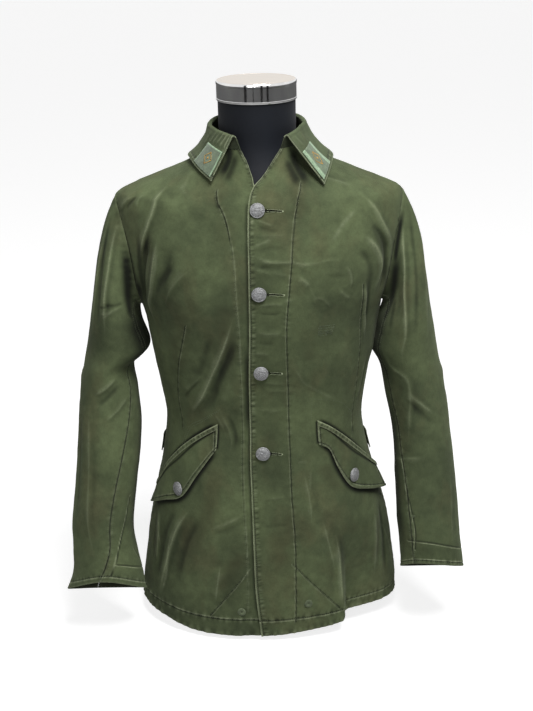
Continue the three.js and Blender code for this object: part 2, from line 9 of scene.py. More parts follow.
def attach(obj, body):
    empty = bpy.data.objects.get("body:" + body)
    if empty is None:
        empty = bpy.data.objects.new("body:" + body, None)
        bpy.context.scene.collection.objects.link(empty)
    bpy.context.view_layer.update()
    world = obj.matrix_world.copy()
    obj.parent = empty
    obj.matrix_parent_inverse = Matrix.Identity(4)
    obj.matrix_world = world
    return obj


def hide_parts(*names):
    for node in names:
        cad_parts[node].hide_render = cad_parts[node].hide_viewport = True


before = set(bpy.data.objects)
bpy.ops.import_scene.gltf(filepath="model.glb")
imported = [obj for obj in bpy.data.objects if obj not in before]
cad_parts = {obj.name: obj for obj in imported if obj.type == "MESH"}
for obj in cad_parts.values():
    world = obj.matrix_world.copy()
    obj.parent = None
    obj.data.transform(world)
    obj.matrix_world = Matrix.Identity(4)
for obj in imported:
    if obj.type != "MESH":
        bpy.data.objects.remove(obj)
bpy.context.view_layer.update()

# A field jacket on a limbless dress form. Tables and sizes are in millimetres, and meshes are made in
# metres. +X is the wearer's left and the front faces -Y. Angles run round the body from +X: -90 is the
# middle of the front, and the wearer's right front has angles from -97 down to -176.
MM = 0.001
CLOTH = 1.6
SEAM_GAP = 0.4
LAY_GAP = 0.6
NECK_SEAM = 762
OPENING_TOP = 711
HEM_EASE = 60


def table(columns, *rows):
    """Rows of numbers as a dict of named columns."""
    return dict(zip(columns.split(), np.array(rows, float).T))


BODY = table(
    "z shift wide front back flat edge",
    (10, 1, 207, 142, 136, 0.92, 0.92),
    (60, 2.5, 204, 140, 133, 0.92, 0.92),
    (110, 3, 197, 138, 129, 0.92, 0.92),
    (150, 3.5, 191, 136, 125, 0.92, 0.92),
    (200, 3, 180, 132, 117, 0.92, 0.94),
    (250, 1.5, 167, 127, 107, 0.92, 0.95),
    (300, 0, 157, 122, 98, 0.92, 0.96),
    (340, 0, 153, 119, 95, 0.92, 0.96),
    (390, 0, 160, 120, 100, 0.92, 0.96),
    (440, 0, 168, 125, 110, 0.92, 0.96),
    (500, 0, 177.5, 130, 118, 0.92, 0.98),
    (560, 0, 197, 130, 124, 0.92, 1.0),
    (612, 0, 208, 125, 123, 0.94, 1.08),
    (660, 0, 214, 114, 115, 0.96, 1.2),
    (686, 0, 211, 107, 106, 0.97, 1.3),
    (698, 0, 190, 102, 100, 0.98, 1.3),
    (711, 0, 159, 97, 92, 1, 1.25),
    (731, 0, 107, 91, 82, 1, 1.1),
    (745, 0, 86, 88, 76, 1, 1),
    (762, 0, 77, 87, 72, 1, 1),
    (776, 0, 74, 87, 70, 1, 1),
)
SKIRT_FOLD = dict(ridge=-57, foot=-52, far=-8, depth=28, top=190)
ARMHOLE_TOP = 688
ARMHOLE_BOTTOM = 512
ARMHOLE_REACH = dict(left=dict(front=20, back=26), right=dict(front=26, back=26))
SEAM_ANGLE = 4
SLEEVES = dict(
    left=table(
        "z y outer inner deep tilt seam",
        (474, 0, 263, 177, 67, 0, 150),
        (440, 0, 269, 171.5, 66, 0, 150),
        (405, -4, 276, 183, 63, 4, 149),
        (360, -12, 284, 191, 60, 10, 148),
        (315, -24, 289, 200, 58, 15, 147),
        (270, -36, 294, 203, 56, 18, 143),
        (225, -49, 298, 203.5, 54, 21, 134),
        (180, -62, 301.5, 205, 52, 24, 130),
        (140, -74, 304.5, 209, 50, 26, 130),
        (115, -81, 307, 211, 50, 27, 131),
        (98, -86, 308, 211, 50, 27, 131),
    ),
    right=table(
        "z y outer inner deep tilt seam",
        (482, 0, 265, 184.5, 67, 0, 150),
        (446, 0, 272, 175, 66, 0, 150),
        (418, -3, 277.5, 201, 64, 2, 149),
        (380, -10, 284.5, 196, 61, 8, 146),
        (330, -22, 289.5, 192, 59, 14, 134),
        (275, -37, 293.5, 196, 56, 18, 124),
        (220, -52, 299, 204, 54, 22, 117),
        (170, -67, 304, 208, 52, 25, 111),
        (130, -78, 304, 202, 50, 27, 105),
        (100, -87, 304, 195, 50, 28, 94),
        (71, -96, 315, 190, 50, 28, 84),
    ),
)
COLLAR = table(
    "angle roll_x roll_y roll_z edge_x edge_y edge_z swell",
    (-63, 43, -80, 780, 96, -82, 710, 0),
    (-42, 55, -64, 784, 104, -56, 724, -2),
    (-22, 64, -38, 787, 109, -24, 733, -6),
    (5, 69, -3, 789, 109, 12, 737, -7),
    (45, 53, 44, 791, 88, 66, 734, -3),
    (90, 0, 65, 792, 0, 95, 731, -2),
    (135, -53, 44, 791, -86, 66, 735, -3),
    (175, -69, -3, 789, -103, 10, 740, -7),
    (202, -63, -40, 787, -98, -30, 740, -5),
    (228, -48, -66, 784, -84, -65, 731, -2),
    (253, -31, -82, 781, -65, -90, 719, 0),
)
ROLL_SPREAD = 3
SLEEVE_BACK_SEAM = 290
SLEEVE_SEAM_TURN = 0.25
TAB_GAP = 0.9
SIDES = dict(left=1, right=-1)


def smoothstep(at, low, high):
    share = np.clip((at - low) / (high - low), 0, 1)
    return share * share * (3 - 2 * share)


def hermite(start, start_pull, end, end_pull, share):
    square, cube = share**2, share**3
    return (
        (2 * cube - 3 * square + 1) * start
        + (cube - 2 * square + share) * start_pull
        + (3 * square - 2 * cube) * end
        + (cube - square) * end_pull
    )


def read(rows, key, at, place="z"):
    """A smooth curve through a column of a table, read at any place."""
    spots, values = rows[place], rows[key]
    if spots[0] > spots[-1]:
        spots, values = spots[::-1], values[::-1]
    last = len(spots) - 1
    before, after = np.maximum(np.arange(last + 1) - 1, 0), np.minimum(np.arange(last + 1) + 1, last)
    slope = (values[after] - values[before]) / (spots[after] - spots[before])
    i = np.clip(np.searchsorted(spots, at, side="right") - 1, 0, last - 1)
    step = spots[i + 1] - spots[i]
    share = np.clip((at - spots[i]) / step, 0, 1)
    return hermite(values[i], slope[i] * step, values[i + 1], slope[i + 1] * step, share)


def skin(angle, z):
    """Points on the body at angles from +X and heights."""
    angle, z = np.broadcast_arrays(np.asarray(angle, float), np.asarray(z, float))
    c, s = np.cos(np.radians(angle)), np.sin(np.radians(angle))
    fade = 1 - smoothstep(z, BODY["z"][0], SKIRT_FOLD["top"])
    drop = smoothstep(angle, SKIRT_FOLD["ridge"], SKIRT_FOLD["foot"])
    fold = SKIRT_FOLD["depth"] * fade * drop * (1 - smoothstep(angle, SKIRT_FOLD["foot"], SKIRT_FOLD["far"]))
    deep = np.where(s < 0, read(BODY, "front", z), read(BODY, "back", z)) - fold
    wide = read(BODY, "wide", z) - fold / 2
    x = read(BODY, "shift", z) + wide * np.sign(c) * np.abs(c) ** read(BODY, "flat", z)
    y = deep * np.sign(s) * np.abs(s) ** read(BODY, "edge", z)
    return np.stack([x, y, z], -1)


def unit(vectors):
    return vectors / np.maximum(np.linalg.norm(vectors, axis=-1, keepdims=True), 1e-9)


def body(angle, z, lift=0.0):
    """The same points moved out of the body along its normal."""
    around = skin(np.asarray(angle) + 1, z) - skin(np.asarray(angle) - 1, z)
    up = skin(angle, np.asarray(z) + 1) - skin(angle, np.asarray(z) - 1)
    return skin(angle, z) + unit(np.cross(around, up)) * np.asarray(lift)[..., None]


def turned(side, angle):
    return angle if side > 0 else 180 - angle


def armhole(name, turn, lift=0.0):
    """Angle and height of a point of an armhole: turn 0 is its top, 90 its front, 180 its bottom."""
    s = np.sin(np.radians(turn))
    half = (ARMHOLE_TOP - ARMHOLE_BOTTOM) / 2
    shrink = 1 + lift / half
    reach = np.where(s > 0, ARMHOLE_REACH[name]["front"], ARMHOLE_REACH[name]["back"])
    return SEAM_ANGLE - s * shrink * reach, ARMHOLE_BOTTOM + half + np.cos(np.radians(turn)) * half * shrink


def ring_point(name, row, turn, lift=0.0):
    """Points of a sleeve under its cap. Row counts the rings, and turn 0 is the outer side, 90 the front."""
    rings = {**SLEEVES[name], "row": np.arange(len(SLEEVES[name]["z"]))}
    at = {key: read(rings, key, row, "row") for key in ("z", "y", "outer", "inner", "deep", "tilt")}
    c, s = np.cos(np.radians(turn)), np.sin(np.radians(turn))
    x = (at["outer"] + at["inner"]) / 2 + ((at["outer"] - at["inner"]) / 2 + lift) * c
    forward = (at["deep"] + lift) * s
    tilt = np.radians(at["tilt"])
    y, z = at["y"] - forward * np.cos(tilt), at["z"] + forward * np.sin(tilt)
    return np.stack(np.broadcast_arrays(SIDES[name] * x, y, z), -1)


def sleeve(name, row, turn, lift=0.0):
    """Points of a sleeve: its cap runs from row 0 at the armhole to row 1, the first ring."""
    row, turn = np.broadcast_arrays(np.asarray(row, float), np.asarray(turn, float))
    side = SIDES[name]
    angle, z = armhole(name, turn, lift)
    start = body(turned(side, angle), z, SEAM_GAP)
    end = ring_point(name, np.zeros_like(row), turn, lift)
    reach = np.linalg.norm(end - start, axis=-1, keepdims=True)
    c, s = np.cos(np.radians(turn)), np.sin(np.radians(turn))
    leave = unit(np.stack([np.full_like(c, side), -0.2 * s, -0.75 - 0.75 * c], -1))
    arrive = unit(ring_point(name, np.ones_like(row), turn, lift) - end)
    pull = leave * reach * (1 - 0.2 * c)[..., None]
    cap = hermite(start, pull, end, arrive * reach, np.clip(row, 0, 1)[..., None])
    return np.where((row < 1)[..., None], cap, ring_point(name, np.maximum(row - 1, 0), turn, lift))


def collar_line(share, across):
    """Points of the collar: share runs from the wearer's left end to the right, and across from the neck
    seam (0) over the top of the stand (1) to the outer edge of the fall (2)."""
    share, across = np.broadcast_arrays(np.asarray(share, float), np.asarray(across, float))
    rows = {**COLLAR, "place": np.linspace(0, 1, len(COLLAR["angle"]))}
    at = {key: read(rows, key, share, "place") for key in COLLAR}
    roll = np.stack([at["roll_x"], at["roll_y"], at["roll_z"]], -1)
    edge = np.stack([at["edge_x"], at["edge_y"], at["edge_z"]], -1)
    seam = skin(at["angle"], np.full_like(share, NECK_SEAM + LAY_GAP))
    level = (edge - roll) * [1, 1, 0]
    out = unit(level)
    down = np.array([0, 0, ROLL_SPREAD])
    stand_top = roll - out * ROLL_SPREAD - down
    start = roll + out * ROLL_SPREAD - down
    stand = seam + (stand_top - seam) * np.clip(across, 0, 1)[..., None]
    bend = 0.12
    fall = across - 1
    turn = np.clip(fall / bend, 0, 1) * np.pi
    over = (stand_top + start) / 2 - out * (np.cos(turn) * ROLL_SPREAD)[..., None]
    over = over + np.stack([0 * turn, 0 * turn, np.sin(turn) * ROLL_SPREAD], -1)
    share_down = np.clip((fall - bend) / (1 - bend), 0, 1)
    bulge = np.sin(share_down * np.pi) * at["swell"]
    hang = start + (edge - start) * share_down[..., None] + out * bulge[..., None]
    return np.where((fall <= 0)[..., None], stand, np.where((fall < bend)[..., None], over, hang))


HEM = table(
    "angle z", (-270, 24), (-180, 24), (-143, 20), (-122, 10), (-92, 9), (-74, 15), (-60, 20), (-48, 27),
    (0, 27), (90, 24),
)
# Front edges by height, as angles counted from each side
EDGES = dict(
    left=table(
        "z angle", (5, -92), (90, -94.5), (268, -96), (400, -95.5), (554, -93.5), (690, -93.2), (711, -91.8),
        (725, -86.2), (745, -75), (762, -63),
    ),
    right=table("z angle", (5, -97), (680, -97), (711, -89), (725, -87), (745, -81), (762, -73)),
)
# Collar tabs, as shares of the collar's way round and of the fall
TAB_THICK = 1
TABS = dict(
    left=dict(start=0.012, end=0.155, top=0.42, bottom=0.95),
    right=dict(start=0.845, end=0.988, top=0.42, bottom=0.95),
)
# Pocket flaps from the inner end to the side. The angles are counted from each side.
FLAPS = dict(
    left=table(
        "top_angle top_z low_angle low_z off lift",
        (-60, 356, -59, 316, 0, 0),
        (-52, 344, -52, 304, 0, 0),
        (-43, 327, -48, 272, 0, 0),
        (-33, 305, -41, 238, 0.5, 1),
        (-22, 280, -27, 222, 2, 3),
        (-10, 250, -8, 206, 6, 6),
    ),
    right=table(
        "top_angle top_z low_angle low_z off lift",
        (-66, 354, -65, 312, 0, 0),
        (-57, 340, -59, 290, 0, 0),
        (-47, 322, -52, 262, 0, 0),
        (-36, 298, -43, 226, 0.5, 1),
        (-24, 268, -29, 210, 1, 3),
        (-11, 226, -12, 190, 1, 6),
    ),
)
FLAP_THICK = 2
FLAP_STAND = 1
WELT = 8
WELT_THICK = 1
WELT_GAP = 0.7
WAIST_TAB = dict(start=1, end=24, low=263, high=293, lift=2)
FRONT_BUTTONS = (680, 562, 440, 310)
POCKET_BUTTONS = dict(left=(0.62, 0.72), right=(0.62, 0.8))
STUDS = dict(left=(-74, 62), right=(-80, 50))
FORM = table(
    "z wide front back",
    (0, 134, 102, 96), (60, 137, 105, 100), (140, 136, 105, 99), (220, 131, 101, 90), (300, 124, 96, 79),
    (360, 124, 94, 79), (440, 140, 104, 90), (520, 156, 112, 104), (590, 166, 110, 108), (640, 168, 101, 100),
    (670, 162, 94, 92), (692, 144, 86, 84), (708, 114, 78, 74), (722, 84, 70, 66), (738, 66, 62, 60),
    (758, 58, 57, 57), (790, 57, 57, 57), (820, 57, 57, 57),
)
CAP_BOTTOM = 820.4
CAP_TOP = 849.5


# Sheets of cloth


class Sheet:
    """A grid of points on a surface in rows and columns, and what is done to the cloth there. Rise moves
    the whole cloth along its normal, and relief only its outer face. Worn, dark and tone go to its material:
    worn to pale threads, from wear and from painted highlight on crests; dark to painted deep shade; and tone
    to how far its colour is faded, or below 0 how far browned, partly as painted light and shade."""

    def __init__(self, points, inside, thick=CLOTH):
        self.shape = points.shape[:2]
        across = np.gradient(points, axis=1)
        up = np.gradient(points, axis=0)
        out = unit(np.cross(across, up))
        self.flip = (out * (points - inside)).sum() < 0
        self.points = points.reshape(-1, 3)
        self.out = (-out if self.flip else out).reshape(-1, 3)
        self.thick = thick
        for field in ("rise", "relief", "worn", "dark", "tone"):
            setattr(self, field, np.zeros(len(self.points)))

    def border(self, side):
        """One edge of the grid as a line: low, high, first or last."""
        grid = self.points.reshape(*self.shape, 3)
        return dict(low=grid[0], high=grid[-1], first=grid[:, 0], last=grid[:, -1])[side]

    def near(self, line, reach):
        """The points within reach of a line: which they are, their distances, below 0 on its left, and
        how far along it in millimetres."""
        low, high = line.min(0) - reach, line.max(0) + reach
        picked = np.flatnonzero(((self.points > low) & (self.points < high)).all(1))
        spots, outs = self.points[picked], self.out[picked]
        best, along, side = (np.full(len(picked), value) for value in (1e9, 0.0, 1.0))
        start = 0.0
        for a, b in zip(line[:-1], line[1:]):
            run = b - a
            length = np.linalg.norm(run)
            share = np.clip((spots - a) @ run / max(length**2, 1e-9), 0, 1)
            gap = spots - a - share[:, None] * run
            distance = np.linalg.norm(gap, axis=1)
            closer = distance < best
            best[closer] = distance[closer]
            along[closer] = start + share[closer] * length
            beside_it = np.cross(outs[closer], gap[closer])
            side[closer] = np.where(np.einsum("ij,ij->i", beside_it, run[None]) > 0, 1, -1)
            start += length
        keep = best < reach
        return picked[keep], best[keep] * side[keep], along[keep], start

    def lane(self, row=None, column=None):
        """One row or column of the grid as a line."""
        grid = self.points.reshape(*self.shape, 3)
        return grid[row] if column is None else grid[:, column]

    def outer(self):
        return self.points + self.out * (self.rise + self.relief)[:, None]

    def tree(self):
        """The outer face as a tree in which other pieces find their place."""
        rows, columns = self.shape
        index = np.arange(rows * columns).reshape(rows, columns)
        quads = np.stack([index[:-1, :-1], index[:-1, 1:], index[1:, 1:], index[1:, :-1]], -1).reshape(-1, 4)
        if self.flip:
            quads = quads[:, ::-1]
        return BVHTree.FromPolygons(self.outer().tolist(), quads.tolist())


def smooth_line(points, place, step=5.0):
    """A smooth line through given points of a surface, about a step apart in space."""
    points = np.array(points, float)
    at = np.arange(len(points))
    fine = np.linspace(0, at[-1], 24 * at[-1] + 1)
    rows = dict(place=at, first=points[:, 0], second=points[:, 1])
    line = place(*(read(rows, key, fine, "place") for key in ("first", "second")))
    lengths = np.concatenate([[0], np.cumsum(np.linalg.norm(np.diff(line, axis=0), axis=1))])
    count = max(2, int(lengths[-1] / step) + 1)
    return resample(line, lengths, np.linspace(0, lengths[-1], count))


def resample(line, lengths, at):
    return np.stack([np.interp(at, lengths, line[:, axis]) for axis in range(3)], -1)


def measured(line):
    return np.concatenate([[0], np.cumsum(np.linalg.norm(np.diff(line, axis=0), axis=1))])


# How steeply a crease falls off, how many half widths it reaches, and the share of its length that
# each end fades over
FOLD_FALL = 1.3
FOLD_REACH = 2.3
FOLD_ENDS = 0.3
# Wear and painted highlight on a crest of 3 mm, half the width of that pale line, and painted shade beside
# a crest and in a trough, per mm
CREST_WEAR_AND_HIGHLIGHT = 0.34
CREST_WEAR_AND_HIGHLIGHT_WIDTH = 1.1
LEE_SHADE = 0.12
TROUGH_SHADE = 0.1


def fold(sheet, line, height, width):
    """A soft ridge, or a trough where height is below 0, that fades out at both ends. Its crest is painted
    pale, partly as wear and partly as highlight, with painted shade beside the crest and in a trough.
    """
    picked, distance, along, length = sheet.near(line, 3.2 * width)
    if not len(picked):
        return
    share = along / length
    fade = smoothstep(share, 0, FOLD_ENDS) * smoothstep(1 - share, 0, FOLD_ENDS)
    off = distance / np.where(distance > 0, 1.35 * width, 0.75 * width)
    crest = np.exp(-FOLD_FALL * (np.sqrt(off**2 + 0.05) - 0.22))
    foot = np.exp(-FOLD_FALL * 1.9)
    inside = smoothstep(FOLD_REACH - np.abs(off), 0, 0.6)
    sheet.rise[picked] += height * fade * (crest - foot) * inside
    wear = CREST_WEAR_AND_HIGHLIGHT * (np.clip(height, 0, 3) / 3) ** 1.5
    sheet.worn[picked] += wear * fade * np.exp(-((distance / CREST_WEAR_AND_HIGHLIGHT_WIDTH) ** 2))
    lee = np.exp(-(((distance + 0.9 * width) / (0.55 * width)) ** 2))
    sheet.dark[picked] += np.clip(height, 0, 3) * LEE_SHADE * fade * lee
    middle = np.exp(-((distance / (0.7 * width)) ** 2))
    sheet.dark[picked] += np.clip(-height, 0, 2) * TROUGH_SHADE * fade * middle


def shade(sheet, line, amount, width):
    """A soft patch along a line, lighter where the amount is above 0 and darker and browner below it: partly
    faded or browned cloth and partly painted light and shade.
    """
    picked, distance, along, length = sheet.near(line, 2.4 * width)
    share = along / length
    fade = 0.25 + 0.75 * smoothstep(share, 0, 0.3) * smoothstep(1 - share, 0, 0.3)
    sheet.tone[picked] += amount * fade * np.exp(-((distance / width) ** 2))


def paint_shade(sheet, line, amount, width, ends=0.3):
    """Painted deep shade along a line: in folds, beside seams, in slits and under flaps. Ends is the share of
    its length that each end fades over.
    """
    picked, distance, along, length = sheet.near(line, 2.4 * width)
    share = along / length
    fade = smoothstep(share, 0, ends) * smoothstep(1 - share, 0, ends)
    spread = np.exp(-(np.abs(distance / (1.1 * width)) ** 2.6))
    sheet.dark[picked] = np.maximum(sheet.dark[picked], amount * fade * spread)


def scuff(sheet, line, amount, width):
    """Wear along a line, broken up unevenly."""
    picked, distance, along, length = sheet.near(line, 2.4 * width)
    share = along / length
    fade = smoothstep(share, 0, 0.25) * smoothstep(1 - share, 0, 0.25)
    broken = 0.65 + 0.5 * clouds(sheet.points[picked], 6, 21)
    sheet.worn[picked] += 0.55 * amount * fade * broken * np.exp(-((distance / width) ** 2))


def groove(sheet, line, depth=0.8, width=0.9, worn=0.0, dark=0.6, at=0.0, side=1):
    """A sewn line: a narrow groove with painted shade in it and a worn line of cloth on one side of it."""
    picked, distance, _, _ = sheet.near(line, 3 * width + abs(at) + 3)
    shape = np.exp(-(((distance - at) / width) ** 2))
    sheet.relief[picked] -= depth * shape
    sheet.dark[picked] = np.maximum(sheet.dark[picked], dark * shape)
    beside = np.exp(-((((distance - at) * side - 2 * width) / (0.8 * width)) ** 2))
    sheet.relief[picked] += 0.5 * depth * beside
    sheet.worn[picked] += worn * beside * (0.75 + 0.4 * clouds(sheet.points[picked], 9, 31))


def edge_bead(sheet, line, height=0.7, width=3.5, worn=0.7, wear_width=1.4):
    """A turned edge: a rounded bead along the border, worn light on its outermost fold."""
    picked, distance, along, length = sheet.near(line, 3 * width)
    distance = np.abs(distance)
    bead = height * np.exp(-(((distance - 0.45 * width) / (0.6 * width)) ** 2))
    sheet.relief[picked] += bead - 0.5 * np.exp(-((distance / 0.9) ** 2))
    rng = np.random.default_rng(len(line))
    uneven = np.interp(along, np.linspace(0, length, 40), rng.uniform(0.45, 1, 40))
    sheet.worn[picked] += worn * uneven * np.exp(-((distance / wear_width) ** 2))


def pucker(sheet, line, height, reach, spacing, seed, middle=0.0, slant=0.0, mark=0.5):
    """Short ripples across a sewn line, uneven in length, height and spacing. Their tops are painted pale,
    partly as wear and partly as highlight, and the cloth between them gets painted shade.
    """
    picked, distance, along, length = sheet.near(line, 2.4 * reach + abs(middle))
    if not len(picked):
        return
    rng = np.random.default_rng(seed)
    count = max(2, int(length / spacing))
    at = (np.arange(count) + rng.uniform(-0.35, 0.35, count)) * spacing
    tall = rng.uniform(0.25, 1, count) * height
    half = rng.uniform(0.24, 0.4, count) * spacing
    long = rng.uniform(0.6, 1.1, count) * reach
    lean = slant + rng.uniform(-0.25, 0.25, count)
    total = np.zeros(len(picked))
    for spot, rise, width, extent, tilt in zip(at, tall, half, long, lean):
        off = along - spot + tilt * (distance - middle)
        ripple = rise * np.exp(-((off / width) ** 2))
        total += ripple * np.exp(-(((distance - middle) / extent) ** 2))
    sheet.relief[picked] += total - height * 0.3 * np.exp(-(((distance - middle) / reach) ** 2))
    # Pale tops, partly wear and partly painted highlight, and painted shade between the ripples
    sheet.worn[picked] += 0.6 * mark * np.clip(total / height, 0, 1) ** 2
    sheet.dark[picked] += 0.9 * mark * smoothstep(0.25 - total / height, 0, 0.25) * np.exp(
        -(((distance - middle) / (0.7 * reach)) ** 2)
    )


def clouds(points, size, seed):
    """Smooth random values from -1 to 1 through space, about a size apart."""
    values = np.random.default_rng(seed).uniform(-1, 1, (24, 24, 24))
    at = points / size
    cell = np.floor(at).astype(int)
    share = at - cell
    share = share * share * (3 - 2 * share)
    total = np.zeros(len(points))
    for dx in (0, 1):
        for dy in (0, 1):
            for dz in (0, 1):
                corner = values[tuple(((cell + [dx, dy, dz]) % 24).T)]
                weight = np.ones(len(points))
                for axis, step in enumerate((dx, dy, dz)):
                    weight *= share[:, axis] if step else 1 - share[:, axis]
                total += corner * weight
    return total


def pin(sheet, line, reach=9.0):
    """Holds the cloth at its place near a line, such as an armhole or a neck seam."""
    picked, distance, _, _ = sheet.near(line, reach)
    sheet.rise[picked] *= smoothstep(np.abs(distance), 0, reach)


def weather(sheet, rough=1.0):
    """Slight unevenness all over, then worn ridges and painted shade in the troughs."""
    crumple = 0.5 - np.abs(clouds(sheet.points * [1, 1, 0.6], 26, 6))
    waves = 0.9 * clouds(sheet.points, 52, 3) + 0.35 * clouds(sheet.points, 19, 4)
    sheet.rise += rough * (waves + 0.7 * crumple)
    sheet.relief += rough * 0.14 * clouds(sheet.points, 6, 5)
    height = (sheet.rise + sheet.relief).reshape(sheet.shape)
    local = (blurred(height, 1) - blurred(height, 6)).ravel()
    sheet.worn += np.clip((local - 0.3) * 0.22, 0, 0.2)
    # Painted shade in the troughs
    sheet.dark += np.clip((-local - 0.15) * 0.5, 0, 0.45)
    sheet.tone += 0.16 * clouds(sheet.points * [1, 1, 0.5], 34, 15) + 0.1 * clouds(sheet.points, 12, 16)


def blurred(field, radius):
    """Box blur of a grid, twice each way."""
    for _ in range(2):
        for axis in (0, 1):
            before, after = field.take([0] * (radius + 1), axis), field.take([-1] * radius, axis)
            padded = np.concatenate([before, field, after], axis)
            total = np.cumsum(padded, axis)
            size = 2 * radius + 1
            stop = field.shape[axis]
            first = total.take(range(stop), axis)
            last = total.take(range(size, size + stop), axis)
            field = (last - first) / size
    return field


# Meshes


INNER_STEP = 4


def cloth_object(name, sheet, material):
    """A sheet as a thin shell. Its inner face has every fourth row and column of the outer one."""
    rows, columns = sheet.shape
    outer = sheet.outer()
    grid_rows, grid_columns = (sorted({*range(0, size, INNER_STEP), size - 1}) for size in (rows, columns))
    index = np.arange(rows * columns).reshape(rows, columns)
    picked = index[np.ix_(grid_rows, grid_columns)]
    inner = (sheet.points + sheet.out * (sheet.rise - sheet.thick)[:, None])[picked.ravel()]
    under = rows * columns + np.arange(picked.size).reshape(picked.shape)
    outer_faces = np.stack([index[:-1, :-1], index[:-1, 1:], index[1:, 1:], index[1:, :-1]], -1)
    inner_faces = np.stack([under[:-1, :-1], under[1:, :-1], under[1:, 1:], under[:-1, 1:]], -1)
    faces = outer_faces.reshape(-1, 4).tolist() + inner_faces.reshape(-1, 4).tolist()
    for (c0, c1), j in zip(zip(grid_columns, grid_columns[1:]), range(len(grid_columns))):
        faces.append([index[0, c0], under[0, j], under[0, j + 1], *index[0, c1:c0:-1]])
        faces.append([under[-1, j], *index[-1, c0:c1 + 1], under[-1, j + 1]])
    for (r0, r1), i in zip(zip(grid_rows, grid_rows[1:]), range(len(grid_rows))):
        faces.append([under[i, 0], *index[r0:r1 + 1, 0], under[i + 1, 0]])
        faces.append([index[r0, -1], under[i, -1], under[i + 1, -1], *index[r1:r0:-1, -1]])
    if sheet.flip:
        faces = [face[::-1] for face in faces]
    mesh = bpy.data.meshes.new(name)
    mesh.from_pydata((np.concatenate([outer, inner]) * MM).tolist(), [], faces)
    mesh.validate()
    for field in ("worn", "dark", "tone"):
        values = np.concatenate([getattr(sheet, field), getattr(sheet, field)[picked.ravel()]])
        # The inner face gets painted shade all over
        if field == "dark":
            values[rows * columns:] = 0.8
        values = np.clip(values, -1, 1).astype(np.float32)
        mesh.attributes.new(field, "FLOAT", "POINT").data.foreach_set("value", values)
    across = np.linalg.norm(np.diff(outer.reshape(rows, columns, 3), axis=1), axis=-1)
    up = np.linalg.norm(np.diff(outer.reshape(rows, columns, 3), axis=0), axis=-1)
    u = np.concatenate([np.zeros((rows, 1)), np.cumsum(across, 1)], 1).ravel()
    v = np.concatenate([np.zeros((1, columns)), np.cumsum(up, 0)], 0).ravel()
    flat = np.stack([u, v], -1) * MM
    flat = np.concatenate([flat, flat[picked.ravel()]])
    spots = np.zeros(len(mesh.loops), np.int32)
    mesh.loops.foreach_get("vertex_index", spots)
    mesh.uv_layers.new(name="UVMap").data.foreach_set("uv", flat[spots].ravel().astype(np.float32))
    return finished(name, mesh, material)


def finished(name, mesh, material, sharp=50):
    mesh.shade_smooth()
    mesh.set_sharp_from_angle(angle=math.radians(sharp))
    mesh.materials.append(material)
    made = bpy.data.objects.new(name, mesh)
    bpy.context.scene.collection.objects.link(made)
    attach(made, "root")
    return made


def mesh_object(name, points, faces, material, sharp=50):
    """A mesh from points in millimetres and faces."""
    mesh = bpy.data.meshes.new(name)
    mesh.from_pydata((np.asarray(points, float) * MM).tolist(), [], faces)
    mesh.validate()
    return finished(name, mesh, material, sharp)


class Thread:
    """Gathers short threads on cloth and joins them into one piece."""

    def __init__(self):
        self.points, self.faces = [], []

    def bit(self, start, end, out, thick, rise):
        """One thread from start to end, pointed at both ends, that stands out of the cloth by rise."""
        run = end - start
        side = unit(np.cross(out, run))
        base = len(self.points)
        self.points.append(start - out * thick * 0.3)
        for share in (0.22, 0.78):
            middle = start + run * share + out * rise
            half = thick / 2
            beside, above = side * half, out * half
            self.points += [middle + beside, middle + above, middle - beside, middle - above]
        self.points.append(end - out * thick * 0.3)
        first, second, last = base + 1, base + 5, base + 9
        for k in range(4):
            n = (k + 1) % 4
            self.faces.append([base, first + n, first + k])
            self.faces.append([first + k, first + n, second + n, second + k])
            self.faces.append([last, second + k, second + n])

    def row(self, tree, line, length=2.4, gap=1.0, thick=0.5, rise=0.12, offset=0.0, skip=0.0, seed=1):
        """A row of stitches along a line, set on the outer face of the cloth in a tree."""
        at = measured(line)
        rng = np.random.default_rng(seed)
        start = gap
        while start + length < at[-1]:
            ends = resample(line, at, np.array([start, start + length]))
            start += length + gap
            if rng.random() < skip:
                continue
            found = [tree.find_nearest(Vector(end), 25) for end in ends]
            if any(spot[0] is None for spot in found):
                continue
            a, b = (np.array(spot[0]) for spot in found)
            out = np.array(found[0][1])
            if offset:
                aside = unit(np.cross(out, b - a)) * offset
                a, b = a + aside, b + aside
            self.bit(a, b, out, thick, rise)

    def made(self, name, material):
        return mesh_object(name, self.points, self.faces, material, 80)
